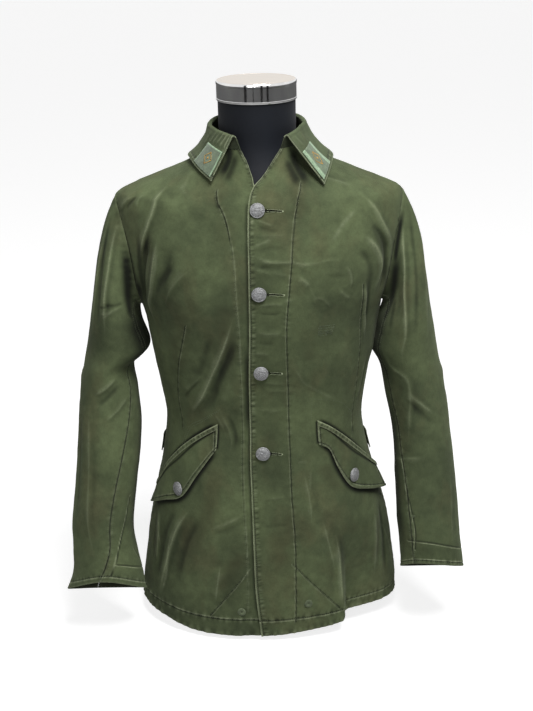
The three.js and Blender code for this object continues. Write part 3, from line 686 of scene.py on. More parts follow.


# Folds, given one by one. Each is its height, its half width and its line. On the body a point is an angle
# and a height; on a sleeve it is a row and a turn.
BODY_FOLDS = (
    # wearer's right front, from the shoulder and armhole down
    (3, 6, (-140, 710), (-133.5, 683), (-137.5, 653), (-142.5, 629), (-147, 609), (-151, 586)),
    (-8, 10, (-137, 645), (-143.5, 606), (-148, 580), (-153.5, 548), (-160, 518)),
    (3.4, 6, (-152, 490), (-151, 527), (-144, 553), (-139.5, 579), (-136, 606), (-132, 640)),
    (-2.2, 12, (-124, 640), (-128, 600), (-133, 560), (-138, 515)),
    (1.4, 5, (-142, 727), (-133, 715), (-125, 703)),
    (1.2, 5, (-134, 711), (-126, 703), (-120, 696)),
    (-1.6, 9, (-122, 602), (-128, 590), (-135, 570), (-143, 538)),
    (1.2, 8, (-116, 598), (-124, 578), (-131, 556), (-138, 525)),
    (1.8, 5, (-149, 690), (-157, 675), (-164, 660)),
    (1.4, 5, (-144, 694), (-145, 684), (-145, 672)),
    (-1.4, 4, (-147, 690), (-151, 678), (-155, 664)),
    (3, 9, (-100, 530), (-104.5, 491), (-110, 455), (-116.5, 420), (-123, 390), (-134, 355)),
    (-2.4, 10, (-99, 500), (-103, 465), (-109, 430), (-114, 395), (-121, 365)),
    (-1.6, 12, (-112, 500), (-118, 455), (-125, 415)),
    (1.5, 4, (-120, 430), (-128, 412), (-136, 393)),
    (-1.3, 3.5, (-121, 424), (-129, 405), (-137, 385)),
    (1.2, 4, (-119, 402), (-126, 383), (-133, 362)),
    (1.2, 5, (-112, 376), (-108, 350), (-106, 330), (-107, 305)),
    (-1, 4, (-108, 372), (-104, 345), (-103, 320)),
    (1, 4, (-116, 372), (-112, 355), (-110, 340)),
    (2.2, 6, (-157, 190), (-154, 150), (-152.5, 93)),
    (-1.5, 5, (-162, 185), (-159, 140), (-157, 95)),
    (3, 8, (-129, 215), (-137, 175), (-141, 135), (-144, 90), (-147, 45)),
    (-2.5, 11, (-121, 210), (-128, 165), (-132, 120), (-134, 70)),
    (-1.6, 8, (-137, 210), (-146, 165), (-148, 110), (-151, 60)),
    (1, 5, (-119, 180), (-110, 194), (-98, 215)),
    (-0.8, 5, (-118, 172), (-108, 186), (-97, 206)),
    (2.5, 25, (-110, 130), (-112, 60)),
    (-1.5, 18, (-103, 400), (-104, 300)),
    # button band
    (1.2, 4, (-91, 668), (-88, 663), (-84, 657)),
    (-1, 4, (-91, 660), (-86, 652), (-82, 649)),
    (0.9, 4, (-92, 646), (-79, 644)),
    (1.2, 4, (-92, 629), (-89, 634), (-85, 640)),
    (-1, 4, (-92, 622), (-86, 628), (-80, 626)),
    (1.2, 4, (-91, 616), (-88, 611), (-85, 607)),
    (1.5, 3.5, (-92, 609), (-88, 608), (-78, 606.5), (-73, 603.5), (-67, 606)),
    (-1.1, 4, (-92, 601), (-80, 600)),
    (1.1, 4, (-92.5, 600), (-88, 594), (-85, 588)),
    (1, 4, (-86, 594), (-82, 590), (-79, 588)),
    (1.1, 4, (-92, 543), (-86, 547), (-79, 545)),
    (-1, 4, (-92, 533), (-85, 531), (-80, 535)),
    (1.1, 4, (-92, 507), (-87, 502), (-80, 504)),
    (1, 4, (-93, 473), (-89, 471), (-86, 468)),
    (-0.9, 4, (-92, 488), (-84, 485)),
    (0.9, 3, (-90, 424), (-78, 420)),
    (0.9, 3, (-90, 411), (-72, 409)),
    (0.9, 4, (-92, 380), (-80, 377)),
    (0.9, 4, (-92, 237), (-80, 241)),
    (-0.8, 4, (-92, 193), (-79, 196)),
    # wearer's left front
    (2.4, 6, (-46, 690), (-44, 687), (-37, 663), (-28, 630), (-19, 600)),
    (-5, 8, (-43, 652), (-33, 630), (-26, 604), (-22, 562), (-24, 530)),
    (1, 4, (-78, 599), (-70, 602), (-62, 605), (-54, 603)),
    (2, 4.5, (-43, 628), (-34, 605), (-28, 575), (-30, 539)),
    (0.7, 4, (-77, 560), (-74, 582), (-69, 560), (-66, 533)),
    (1.3, 4, (-54, 598), (-50, 575), (-50, 556)),
    (1.6, 4, (-40, 564), (-32, 506), (-26, 456)),
    (2.2, 7, (-46, 636), (-36, 614), (-29, 590), (-27, 562)),
    (-1.6, 9, (-50, 620), (-41, 598), (-36, 570), (-34, 540)),
    (1.8, 4, (-41, 572), (-36, 532), (-30, 490), (-28.5, 470)),
    (-1.5, 4, (-38, 572), (-33, 532), (-28, 495)),
    (1.2, 6, (-76, 590), (-74, 582), (-69, 570)),
    (1.2, 6, (-57, 562), (-52, 551), (-47, 542)),
    (-1, 6, (-64, 585), (-58, 580), (-51, 580)),
    (1, 6, (-70, 555), (-63, 548), (-58, 530)),
    (1.2, 6, (-52, 722), (-46, 712), (-40, 700)),
    (1.6, 6, (-77, 452), (-73, 436), (-69, 419), (-58, 398), (-45, 378)),
    (-1.2, 6, (-76, 440), (-66, 412), (-52, 388)),
    (1.6, 10, (-70, 280), (-69, 230), (-70, 190)),
    (2, 16, (-64, 200), (-62, 150), (-60, 110)),
    (3, 6, (-58, 175), (-57.5, 150), (-57.5, 83), (-57.5, 40)),
    (-3, 9, (-14, 205), (-18, 160), (-20, 110), (-22, 60)),
    (2.5, 8, (-5, 195), (-8, 140), (-11, 70)),
    (2, 8, (-26, 190), (-30, 130), (-33, 70)),
    (1.4, 5, (-22, 440), (-23, 400), (-25, 360)),
    (-1.5, 5, (-17, 450), (-18, 400), (-20, 350)),
    (3.4, 18, (0, 530), (-2, 490), (-3, 450), (-3, 410)),
    # back: blades, waist, skirt, shoulders and armholes
    (4, 14, (30, 640), (33, 590), (38, 530), (46, 470), (55, 420)),
    (-4, 12, (20, 620), (24, 570), (30, 510), (38, 450)),
    (3.4, 12, (150, 645), (146, 590), (140, 525), (133, 460)),
    (-3.6, 12, (160, 625), (155, 570), (149, 505), (141, 440)),
    (2.2, 16, (88, 560), (90, 480), (92, 420)),
    (-2, 10, (78, 600), (80, 520), (83, 440)),
    (2.4, 7, (55, 400), (75, 386), (95, 384), (118, 392)),
    (-2.2, 7, (50, 388), (72, 372), (96, 368), (122, 378)),
    (1.8, 6, (62, 362), (84, 352), (108, 356), (128, 368)),
    (1.5, 5, (40, 372), (56, 360), (70, 357)),
    (1.6, 6, (110, 410), (128, 402), (142, 408)),
    (5, 18, (50, 300), (48, 200), (46, 100), (45, 30)),
    (-4, 14, (62, 280), (61, 180), (60, 90), (60, 30)),
    (4, 18, (90, 290), (89, 190), (90, 90), (90, 26)),
    (-4, 16, (105, 300), (107, 190), (108, 90), (108, 28)),
    (5, 17, (126, 290), (129, 190), (131, 100), (133, 28)),
    (-3, 12, (145, 280), (148, 170), (150, 80), (151, 28)),
    (3, 12, (28, 260), (24, 150), (22, 50)),
    (3, 11, (160, 270), (163, 160), (165, 60)),
    (1.8, 8, (70, 735), (64, 715), (58, 690)),
    (1.6, 8, (108, 736), (115, 716), (122, 692)),
    (2, 9, (30, 690), (36, 668), (44, 645)),
    (2, 9, (150, 690), (144, 668), (136, 640)),
    (2, 7, (12, 520), (14, 470), (18, 420)),
    (-2, 6, (6, 515), (8, 460), (10, 410)),
    (2, 7, (168, 520), (166, 470), (162, 420)),
)
SLEEVE_FOLDS = dict(
    right=(
        (2.2, 5, (0.03, 29), (0.2, 37), (0.39, 41), (0.63, 42), (1, 42), (1.5, 44)),
        (2.4, 5, (0.03, 49), (0.09, 56), (0.24, 65), (0.42, 73), (0.7, 75), (1.2, 78)),
        (-1.8, 6, (0.05, 30), (0.3, 45), (0.6, 56), (1.1, 60)),
        (-1.5, 3, (0.75, 64), (0.6, 103), (0.42, 125)),
        (1.3, 3.5, (0.84, 60), (0.72, 90), (0.52, 122)),
        (1.2, 4, (0.84, 73), (0.69, 97)),
        (1.6, 9, (4, 55), (6, 62), (8, 70), (10, 78)),
        (-1.4, 8, (4.2, 30), (6, 36), (8.2, 44)),
        (1.8, 5, (3.2, 120), (3.7, 95), (4.1, 66)),
        (-1.5, 5, (3.6, 125), (4.1, 98), (4.5, 72)),
        (1.5, 5, (4.1, 140), (4.6, 112), (5, 84)),
        (1.8, 6, (3.1, -20), (3.5, 10), (3.9, 34)),
        (-1.6, 6, (3.6, -34), (4, -6), (4.4, 22)),
        (1.8, 6, (4, 200), (4.4, 230), (4.6, 262)),
        (-1.6, 6, (4.5, 205), (4.9, 232), (5.1, 258)),
        (1.6, 6, (2.6, 210), (2.9, 240), (3.1, 268)),
        (2, 8, (0.1, 250), (0.5, 246), (1.2, 240)),
        (-1.8, 7, (0.1, 225), (0.6, 222), (1.3, 218)),
    ),
    left=(
        (2.6, 5, (0.01, 46), (0.06, 64), (0.18, 86), (0.45, 104), (0.93, 96), (1.5, 99), (2.5, 105)),
        (-2, 7, (0.05, 20), (0.3, 60), (0.8, 72), (1.6, 80)),
        (1.8, 7, (0.05, -10), (0.3, 20), (0.8, 42), (1.5, 52)),
        (1.5, 7, (1.23, 145), (2.58, 130), (3.39, 103), (5.79, 130)),
        (1.6, 6, (3.63, 110), (4.1, 88), (4.56, 64)),
        (-1.4, 6, (3.9, 118), (4.4, 92), (4.9, 70)),
        (1.3, 6, (6.2, 180), (6.1, 130), (6.03, 86)),
        (1.6, 6, (2.9, -14), (3.3, 14), (3.8, 40)),
        (-1.4, 6, (3.4, -22), (3.8, 4), (4.3, 30)),
        (1.4, 9, (6.5, 40), (8, 46), (9.6, 52)),
        (1.8, 6, (4, 205), (4.3, 232), (4.6, 262)),
        (-1.6, 6, (4.4, 205), (4.8, 235), (5, 258)),
        (1.6, 6, (3, 215), (3.2, 240), (3.4, 268)),
        (2, 8, (0.1, 250), (0.5, 246), (1.2, 240)),
        (-1.8, 7, (0.1, 225), (0.6, 222), (1.3, 218)),
        (4.6, 20, (0.1, 182), (0.7, 183), (1.3, 183), (1.9, 181), (2.8, 180)),
    ),
)
# Soft patches, partly faded or browned cloth and partly painted light and shade: lighter where the amount
# is above 0 and browned below it: amount, half width and line
BODY_SHADES = (
    (-0.5, 16, (-114, 270), (-117, 224), (-122, 172), (-125, 118)),
    (0.4, 14, (-106, 263), (-113, 202), (-119, 134), (-120, 80)),
    (-0.45, 14, (-98, 154), (-106, 118), (-111, 71)),
    (0.3, 10, (-136, 209), (-139, 173), (-140, 143)),
    (-0.45, 12, (-130, 200), (-133, 150), (-134, 90)),
    (-0.4, 18, (-104, 700), (-101, 660), (-99, 620)),
    (-0.45, 18, (-104, 560), (-104, 480), (-105, 430)),
    (-0.4, 20, (-125, 540), (-130, 480), (-136, 420)),
    (0.3, 22, (-124, 700), (-118, 660), (-116, 620)),
    (-0.45, 14, (-68, 712), (-74, 690), (-76, 660)),
    (0.35, 26, (-58, 690), (-60, 650), (-64, 610)),
    (-0.35, 16, (-70, 520), (-68, 480), (-64, 440)),
    (0.25, 14, (-50, 520), (-46, 470), (-42, 430)),
    (-0.5, 16, (-58, 294), (-54, 263), (-50, 227)),
    (-0.3, 14, (-54, 184), (-42, 167)),
    (-0.5, 9, (-20, 184), (-27, 142), (-34, 92)),
    (0.45, 8, (-58, 194), (-60, 143), (-58, 102), (-59, 44)),
    (0.35, 12, (-68, 224), (-67, 173), (-64, 120)),
    (0.3, 12, (-82, 60), (-80, 30)),
    (0.3, 20, (-86, 280), (-86, 230)),
    (-0.35, 16, (-86, 190), (-86, 120)),
    (0.4, 16, (90, 560), (90, 500)),
    (-0.4, 18, (70, 470), (74, 400)),
    (-0.4, 16, (62, 250), (61, 120)),
    (0.35, 14, (90, 250), (90, 100)),
    (-0.4, 16, (108, 260), (108, 110)),
    (0.3, 24, (60, 680), (40, 640)),
    (0.3, 24, (122, 680), (142, 640)),
)
# Painted deep shade where the cloth folds in on itself, and under the collar
BODY_PAINTED_SHADE = (
    (0.8, 5, (-143, 650), (-148, 607), (-152, 575), (-156, 548), (-162, 515)),
    (1, 9, (-156, 575), (-161, 545), (-168, 510), (-173, 480)),
    (1, 13, (-166, 530), (-172, 490), (-176, 440)),
    (0.8, 6, (-38, 642), (-29, 612), (-22, 575), (-16, 535)),
    (0.95, 8, (-16, 610), (-11, 575), (-9, 540), (-8, 500), (-6, 460)),
    (1, 13, (-8, 560), (-8, 520), (-6, 470), (-4, 430)),
    (0.14, 22, (-86, 720), (-87, 560), (-86, 400), (-86, 240), (-86, 100)),
    (0.1, 30, (-62, 690), (-58, 620), (-56, 540)),
    (1, 7, (-125, 776), (-120, 762), (-118, 748), (-117, 735), (-113, 718)),
    (0.8, 6, (-114, 762), (-112, 745), (-110, 728), (-106, 712)),
    (0.95, 8, (-52, 768), (-51, 752), (-55, 736), (-61, 718), (-66, 704)),
    (0.85, 7, (-58, 752), (-61, 736), (-66, 720), (-69, 706)),
    (0.5, 2.5, (-109, 704), (-103, 678)),
)
# Worn lines
BODY_SCUFFS = (
    (0.7, 1.5, (-169, 184), (-160, 158), (-159, 113)),
    (0.7, 1.5, (-159, 194), (-155, 158), (-150, 128)),
    (0.8, 1.8, (-141, 168), (-142, 131), (-142, 89), (-146, 47)),
    (0.4, 1.5, (-102, 206), (-108, 196), (-112, 184)),
    (0.5, 1.2, (-73, 293), (-67, 292)),
    (0.35, 1.6, (-66, 278), (-68, 245)),
    (0.4, 1.2, (-50, 312), (-42, 305)),
    (0.4, 1.2, (-34, 292), (-31, 318)),
    (0.4, 3, (-49, 676), (-56, 652), (-62, 629)),
    (0.3, 2.5, (-53, 668), (-60, 640)),
    (0.35, 1.6, (-43, 628), (-34, 605), (-28, 575)),
    (0.3, 1.4, (-133, 689), (-136, 660), (-144, 620), (-152, 588)),
    (0.4, 1.4, (-22, 180), (-14, 120), (-12, 60)),
)
# Sewn lines on the body, each with how high, how far and how closely the cloth beside it puckers
BODY_SEAMS = dict(
    facing_left=(
        0.7, 6, 7, (-66, 713), (-71, 701), (-75, 686), (-77, 650), (-78, 604), (-79, 552), (-79, 500),
        (-77.5, 395),
        (-76.5, 314), (-78, 234), (-78.5, 162), (-79.5, 32),
    ),
    facing_right=(
        0.6, 6, 7, (-109.5, 706), (-103, 678), (-100, 640), (-98.5, 598), (-98.5, 508), (-99, 428),
        (-100, 268),
        (-98, 140), (-97.5, 50),
    ),
    dart_right=(0.5, 5, 8, (-126, 508), (-132, 468), (-138, 424), (-142, 380), (-142, 336)),
    dart_left=(0.5, 5, 8, (-41, 560), (-36, 512), (-32, 470), (-29, 402), (-28, 360), (-29, 318)),
    diagonal_right=(0.3, 4, 6, (-97, 122), (-105, 82), (-114, 40)),
    diagonal_left=(0.3, 4, 6, (-80, 130), (-70, 88), (-59, 46)),
)
POCKET_ROWS = (
    ((-111, 378.5), (-124, 358), (-136.5, 338), (-143, 299)),
    ((-113, 374), (-125, 353), (-135, 336), (-141, 301)),
    ((-64, 392), (-64, 375), (-64, 358)),
    ((-64, 392), (-58, 388), (-45, 378), (-30, 352)),
)
HEM_TURN = 26
CUFF_TURN = 12
SEAM_DEPTH = 0.9
STEP = 2.0


# Painted shade on the sleeves, deepest near the armpits, and the sewn lines on them
SLEEVE_PAINTED_SHADE = dict(
    right=(
        (1, 8, (0.02, 70), (0.1, 104), (0.2, 122), (0.45, 138), (0.9, 148), (1.3, 152)),
        (1, 30, (0.3, 152), (1, 154), (1.6, 154), (2.3, 156), (3.2, 166)),
        (0.9, 13, (3, 178), (5, 180), (7, 178), (9, 178), (10.8, 178)),
        (0.6, 5, (0.05, 12), (0.25, 20), (0.6, 24), (1, 26)),
        (0.6, 2, (0.81, 40), (0.72, 76), (0.63, 94), (0.6, 106)),
    ),
    left=(
        (1, 4, (0.02, 40), (0.03, 70), (0.05, 95), (0.1, 115)),
        (1, 7, (0.03, 80), (0.15, 122), (0.4, 142), (0.8, 156), (1.4, 164)),
        (1, 24, (0.3, 160), (1, 166), (1.8, 168), (2.8, 166), (3.8, 170)),
        (1, 16, (3.5, 172), (5, 172), (7, 168), (9, 166), (10.9, 170)),
        (0.55, 4, (0.3, 128), (0.6, 132), (1, 130)),
    ),
)
SLEEVE_SEAMS = dict(
    right=(
        ((7.17, 154), (7.95, 143.5), (8.61, 128.5), (9.39, 115), (10.35, 101)),
        ((9.78, 112), (9.81, 126), (9.87, 148), (9.9, 186), (9.9, 240), (9.8, 290)),
        ((8.91, 158), (9.42, 169), (10.08, 185)),
    ),
    left=(
        ((6.15, 142), (7.2, 133), (7.86, 125), (8.61, 121), (9.55, 125)),
        ((9.03, 140), (9.18, 94), (9.45, 44), (9.5, 0)),
    ),
)
CUFF_ARCH = dict(right=(0.33, 92, 46), left=(0.3, 122, 50))


def side_limit(name, z, to_back):
    """Angle where a panel stops at the side: the side seam, then the armhole, then the shoulder."""
    per_degree = np.linalg.norm(skin(SEAM_ANGLE + 1, z) - skin(SEAM_ANGLE, z), axis=-1)
    gap = (1 if to_back else -1) * SEAM_GAP / 2 / per_degree
    middle = (ARMHOLE_TOP + ARMHOLE_BOTTOM) / 2
    turn = np.degrees(np.arccos(np.clip((z - middle) / (ARMHOLE_TOP - middle), -1, 1)))
    return armhole(name, 360 - turn if to_back else turn)[0] + gap


def row_height(z, angle):
    """A row's height at an angle: the lowest rows follow the hem."""
    share = np.clip((HEM_EASE - z) / (HEM_EASE - BODY["z"][0]), 0, 1)
    return z + (read(HEM, "z", np.where(angle > 90, angle - 360, angle), "angle") - BODY["z"][0]) * share


def lap_drop(angle, z):
    """The right front dips under the left one next to its edge."""
    closed = 1 - smoothstep(z, OPENING_TOP, OPENING_TOP + 25)
    return -(CLOTH + LAY_GAP) * smoothstep(-angle, 78, 84) * closed


def panel_rows(step):
    """Heights from the hem to the neck seam, close together where the armhole's curve needs it."""
    middle, half = (ARMHOLE_TOP + ARMHOLE_BOTTOM) / 2, (ARMHOLE_TOP - ARMHOLE_BOTTOM) / 2
    low = np.linspace(BODY["z"][0], ARMHOLE_BOTTOM, int((ARMHOLE_BOTTOM - BODY["z"][0]) / step))
    curve = middle - half * np.cos(np.linspace(0, np.pi, int(np.pi * half / step)))
    high = np.linspace(ARMHOLE_TOP, NECK_SEAM, int((NECK_SEAM - ARMHOLE_TOP) / step))
    return np.concatenate([low[:-1], curve, high[1:]])


def front_sheet(name, columns=178):
    z = panel_rows(STEP)[:, None]
    share = np.linspace(0, 1, columns)[None]
    across = 0.55 * share + 0.45 * share**2
    angle = read(EDGES[name], "angle", z) * (1 - across) + side_limit(name, z, False) * across
    drop = lap_drop(angle, z) if name == "right" else np.zeros_like(angle)
    around = turned(SIDES[name], angle)
    points = body(around, row_height(z, around), drop)
    return Sheet(points, points * [0, 0, 1])


def back_sheet(columns=190):
    z = panel_rows(2.4)[:, None]
    across = np.linspace(0, 1, columns)[None]
    start, end = side_limit("left", z, True), turned(-1, side_limit("right", z, True))
    angle = start * (1 - across) + end * across
    points = body(angle, row_height(z, angle))
    return Sheet(points, points * [0, 0, 1])


def sleeve_sheet(name, piece, columns):
    row = np.concatenate([np.linspace(0, 1, 84)[:-1], np.linspace(1, 11, 190)])[:, None]
    share = np.linspace(0, 1, columns)[None]
    rings = dict(seam=SLEEVES[name]["seam"], row=np.arange(1, len(SLEEVES[name]["z"]) + 1))
    front = read(rings, "seam", row, "row")
    first, last = (SLEEVE_BACK_SEAM - 360, front) if piece == "top" else (front, SLEEVE_BACK_SEAM)
    turn = (first + SLEEVE_SEAM_TURN) * (1 - share) + (last - SLEEVE_SEAM_TURN) * share
    rise, middle, half = CUFF_ARCH[name]
    arched = row - rise * np.exp(-(((turn - middle) / half) ** 2)) * smoothstep(row, 8.5, 11)
    points = sleeve(name, arched, turn)
    whole = sleeve(name, row, np.linspace(0, 330, 12)[None])
    return Sheet(points, whole.mean(1, keepdims=True))


def body_line(points, step=5.0):
    return smooth_line(points, lambda angle, z: body(angle, z), step)


def armhole_line(name):
    angle, z = armhole(name, np.linspace(0, 360, 73))
    return body(turned(SIDES[name], angle), z)


def collar(share, across, lift=0.0):
    """A point of the collar. Lift moves it out to the stand's inner face and the fall's outer face."""
    e = 0.004
    share, across = np.broadcast_arrays(np.asarray(share, float), np.asarray(across, float))
    side = collar_line(np.minimum(share + e, 1), across) - collar_line(np.maximum(share - e, 0), across)
    run = collar_line(share, np.minimum(across + e, 2)) - collar_line(share, np.maximum(across - e, 0))
    return collar_line(share, across) - unit(np.cross(side, run)) * np.asarray(lift)[..., None]


def collar_sheet(stations, columns):
    points = collar(np.linspace(0, 1, columns)[None], stations[:, None], CLOTH / 2)
    middle = collar_line(np.linspace(0, 1, columns)[None], stations[:, None])
    return Sheet(points, middle)


fronts = {name: front_sheet(name) for name in SIDES}
back = back_sheet()
SLEEVE_COLUMNS = dict(top=118, under=76)
sleeves = {
    (name, piece): sleeve_sheet(name, piece, columns)
    for name in SIDES
    for piece, columns in SLEEVE_COLUMNS.items()
}
fall = collar_sheet(np.concatenate([np.linspace(1.008, 1.12, 12)[:-1], np.linspace(1.12, 2, 36)]), 250)
stand = collar_sheet(np.linspace(0, 0.985, 16), 160)
panels = [*fronts.values(), back]

neck_line = body(np.linspace(-110, 290, 120), np.full(120, NECK_SEAM))


# The folds, seams and edges of each sheet


def shape_body():
    folds = [(height, width, body_line(points)) for height, width, *points in BODY_FOLDS]
    marks = [
        (mark, amount, width, body_line(points))
        for mark, rows in ((shade, BODY_SHADES), (paint_shade, BODY_PAINTED_SHADE), (scuff, BODY_SCUFFS))
        for amount, width, *points in rows
    ]
    for sheet in panels:
        for height, width, line in folds:
            fold(sheet, line, height, width)
        weather(sheet)
        for mark, amount, width, line in marks:
            mark(sheet, line, amount, width)
        for name in SIDES:
            pin(sheet, armhole_line(name))
        pin(sheet, neck_line)


def shape_seams():
    for name, (height, reach, spacing, *points) in BODY_SEAMS.items():
        line = body_line(points)
        sheet = fronts[name.split("_")[1]]
        worn = 0.3 if name == "facing_right" else 0.5
        worn_side = 1 if "left" in name else -1
        groove(sheet, line, SEAM_DEPTH, width=0.8, dark=1, worn=worn, side=worn_side)
        pucker(sheet, line, height, reach, spacing, seed=len(points) + len(name), mark=0.25)


def shape_borders():
    for seed, sheet in enumerate(panels):
        low = sheet.border("low")
        edge_bead(sheet, low, 0.6, worn=0.7)
        turn_up = sheet.lane(row=int(HEM_TURN / 2))
        groove(sheet, turn_up, 0.7, worn=0.7, dark=0.85)
        pucker(sheet, turn_up, 1.2, 8, 8, seed=40 + seed, middle=0, mark=0.5)
        pucker(sheet, low, 1.5, 11, 10, seed=45 + seed, mark=0.55)
        for side in ("first", "last"):
            line = sheet.border(side)
            if side == "first" and sheet is not back:
                edge_bead(sheet, line, 1.1, worn=1.2, wear_width=1.8)
                groove(sheet, sheet.lane(column=3), 0.6, width=0.7, dark=0.85)
                pucker(sheet, sheet.lane(column=6), 0.8, 4.5, 5, seed=60 + seed, mark=0.6)
            else:
                edge_bead(sheet, line, 0.5, worn=0.3)
                pucker(sheet, line, 0.6, 6, 8, seed=50 + seed)


def shape_lap():
    """Deep shade on the right front beside the left front's edge."""
    z = np.linspace(28, 708, 80)
    angle = read(EDGES["left"], "angle", z) - 0.5
    paint_shade(fronts["right"], body(angle, z), 1, 2.4, ends=0.05)
    paint_shade(fronts["right"], body(angle, z)[34:56], 0.9, 5)


# Shade in the armhole seams, by the turns where it starts and stops: amount and half width
ARMHOLE_SHADES = ((5, 180, 1, 2), (60, 190, 1, 4.5), (105, 205, 1, 9), (180, 330, 0.7, 2.5))


def shape_armholes():
    """Shade in the armhole seams, wider towards the armpit."""
    for name in SIDES:
        for first, last, amount, width in ARMHOLE_SHADES:
            angle, z = armhole(name, np.linspace(first, last, 40))
            paint_shade(fronts[name] if last < 210 else back, body(turned(SIDES[name], angle), z), amount, width)


def on_body(name, along, down):
    """A line on the front beneath a flap, by shares of the way along and down the flap."""
    rows = {**FLAPS[name], "place": np.linspace(0, 1, len(FLAPS[name]["off"]))}
    at = {key: read(rows, key, along, "place") for key in FLAPS[name]}
    angle = at["top_angle"] * (1 - down) + at["low_angle"] * down
    return body(turned(SIDES[name], angle), at["top_z"] * (1 - down) + at["low_z"] * down)


def shape_pockets():
    """Deep shade on the fronts round each flap, widest below it."""
    for name, sheet in fronts.items():
        share = np.linspace(0, 1, 60)
        paint_shade(sheet, on_body(name, share, 1.03), 1, 4.6, ends=0.08)
        paint_shade(sheet, on_body(name, np.full(20, -0.012), np.linspace(0, 1, 20)), 1, 2.6, ends=0.08)
        paint_shade(sheet, on_body(name, share, -0.03), 1, 2.8, ends=0.08)


def sleeve_line(name, points):
    return smooth_line(points, lambda row, turn: sleeve(name, row, turn))


def shape_sleeves():
    for (name, piece), sheet in sleeves.items():
        for height, width, *points in SLEEVE_FOLDS[name]:
            line = sleeve_line(name, points)
            fold(sheet, line, height, width)
        weather(sheet, 0.9)
        for amount, width, *points in SLEEVE_PAINTED_SHADE[name]:
            paint_shade(sheet, sleeve_line(name, points), amount, width)
        for points in SLEEVE_SEAMS[name]:
            groove(sheet, sleeve_line(name, points), 0.7, worn=0.75, dark=0.95)
        pin(sheet, sheet.border("low"), 12)
        for side in ("first", "last"):
            pin(sheet, sheet.border(side), 6)
            edge_bead(sheet, sheet.border(side), 0.5, worn=0.6, wear_width=0.9)
            # Painted shade along the seams between the sleeve pieces
            paint_shade(sheet, sheet.border(side), 1, 0.9, ends=0.05)
            pucker(sheet, sheet.border(side), 0.7, 7, 9, seed=len(name) + len(piece) + len(side), mark=0.3)
        cuff = sheet.border("high")
        edge_bead(sheet, cuff, 0.6, worn=0.5)
        turn_up = sheet.lane(row=-int(CUFF_TURN / 2) - 1)
        groove(sheet, turn_up, 0.6, worn=1.0, dark=0.7)
        pucker(sheet, turn_up, 0.7, 6, 7, seed=70 + len(name), mark=0.4)
        edge_bead(sheet, sheet.border("low"), 0.8, width=5, worn=0.15)
        pucker(sheet, sheet.border("low"), 0.9, 8, 10, seed=80 + len(name), middle=6, mark=0.2)


GATHERS = (
    (2, 3.5, (0.99, 1.06), (0.985, 1.2), (0.975, 1.4)),
    (2.2, 3.5, (0.962, 1.04), (0.955, 1.2), (0.945, 1.42)),
    (2, 3.5, (0.935, 1.03), (0.925, 1.2), (0.91, 1.4)),
    (1.8, 4, (0.905, 1.03), (0.893, 1.22), (0.88, 1.45)),
    (1.5, 4, (0.872, 1.05), (0.862, 1.25), (0.85, 1.5)),
    (1.2, 5, (0.83, 1.1), (0.82, 1.3), (0.81, 1.6)),
    (0.9, 5, (0.05, 1.1), (0.06, 1.25), (0.075, 1.4)),
    (0.8, 5, (0.12, 1.1), (0.135, 1.3), (0.15, 1.6)),
    (1.2, 7, (0.3, 1.1), (0.31, 1.4), (0.3, 1.8)),
    (1.2, 7, (0.48, 1.1), (0.47, 1.5), (0.48, 1.9)),
    (1.3, 7, (0.66, 1.1), (0.665, 1.4), (0.67, 1.8)),
)


def shape_collar():
    for height, width, *points in GATHERS:
        line = smooth_line(points, lambda share, across: collar(share, across, CLOTH / 2))
        fold(fall, line, height, width)
    weather(fall, 0.5)
    weather(stand, 0.4)
    # Painted shade over the whole collar stand
    stand.dark += 0.35
    edge_bead(fall, fall.border("high"), 0.6, worn=0.9)
    groove(fall, fall.lane(row=-5), 0.5, worn=0.5, dark=0.8)
    pucker(fall, fall.lane(row=-4), 0.5, 5, 6, seed=90, mark=0.7)
    for side, column in (("first", 2), ("last", -3)):
        edge_bead(fall, fall.border(side), 0.5, worn=0.7)
        groove(fall, fall.lane(column=column), 0.4, worn=0.3)
    edge_bead(stand, stand.border("high"), 0.3, worn=0.3)


# Small pieces that lie on the cloth


def carried(points, tree):
    """How far the cloth under a grid of points has risen, smoothed."""
    rise = np.zeros(points.shape[:2])
    for i, j in np.ndindex(*rise.shape):
        spot, out, _, _ = tree.find_nearest(Vector(points[i, j]), 25)
        if spot is not None:
            rise[i, j] = (spot - Vector(points[i, j])).dot(out)
    return blurred(rise, 3)


def flap_point(name, along, down, lift=0.0):
    rows = {**FLAPS[name], "place": np.linspace(0, 1, len(FLAPS[name]["off"]))}
    at = {key: read(rows, key, along, "place") for key in FLAPS[name]}
    angle = at["top_angle"] * (1 - down) + at["low_angle"] * down
    z = at["top_z"] * (1 - down) + at["low_z"] * down
    return body(turned(SIDES[name], angle), z, lift + at["off"] + at["lift"] * down**1.5)


def round_edges(sheet, depth, radius):
    """Rounds off the borders of a thick sheet."""
    for side in ("low", "high", "first", "last"):
        picked, distance, _, _ = sheet.near(sheet.border(side), radius)
        fall_off = 1 - np.sqrt(np.clip(1 - (1 - np.abs(distance) / radius) ** 2, 0, 1))
        sheet.relief[picked] = np.minimum(sheet.relief[picked], -depth * fall_off)


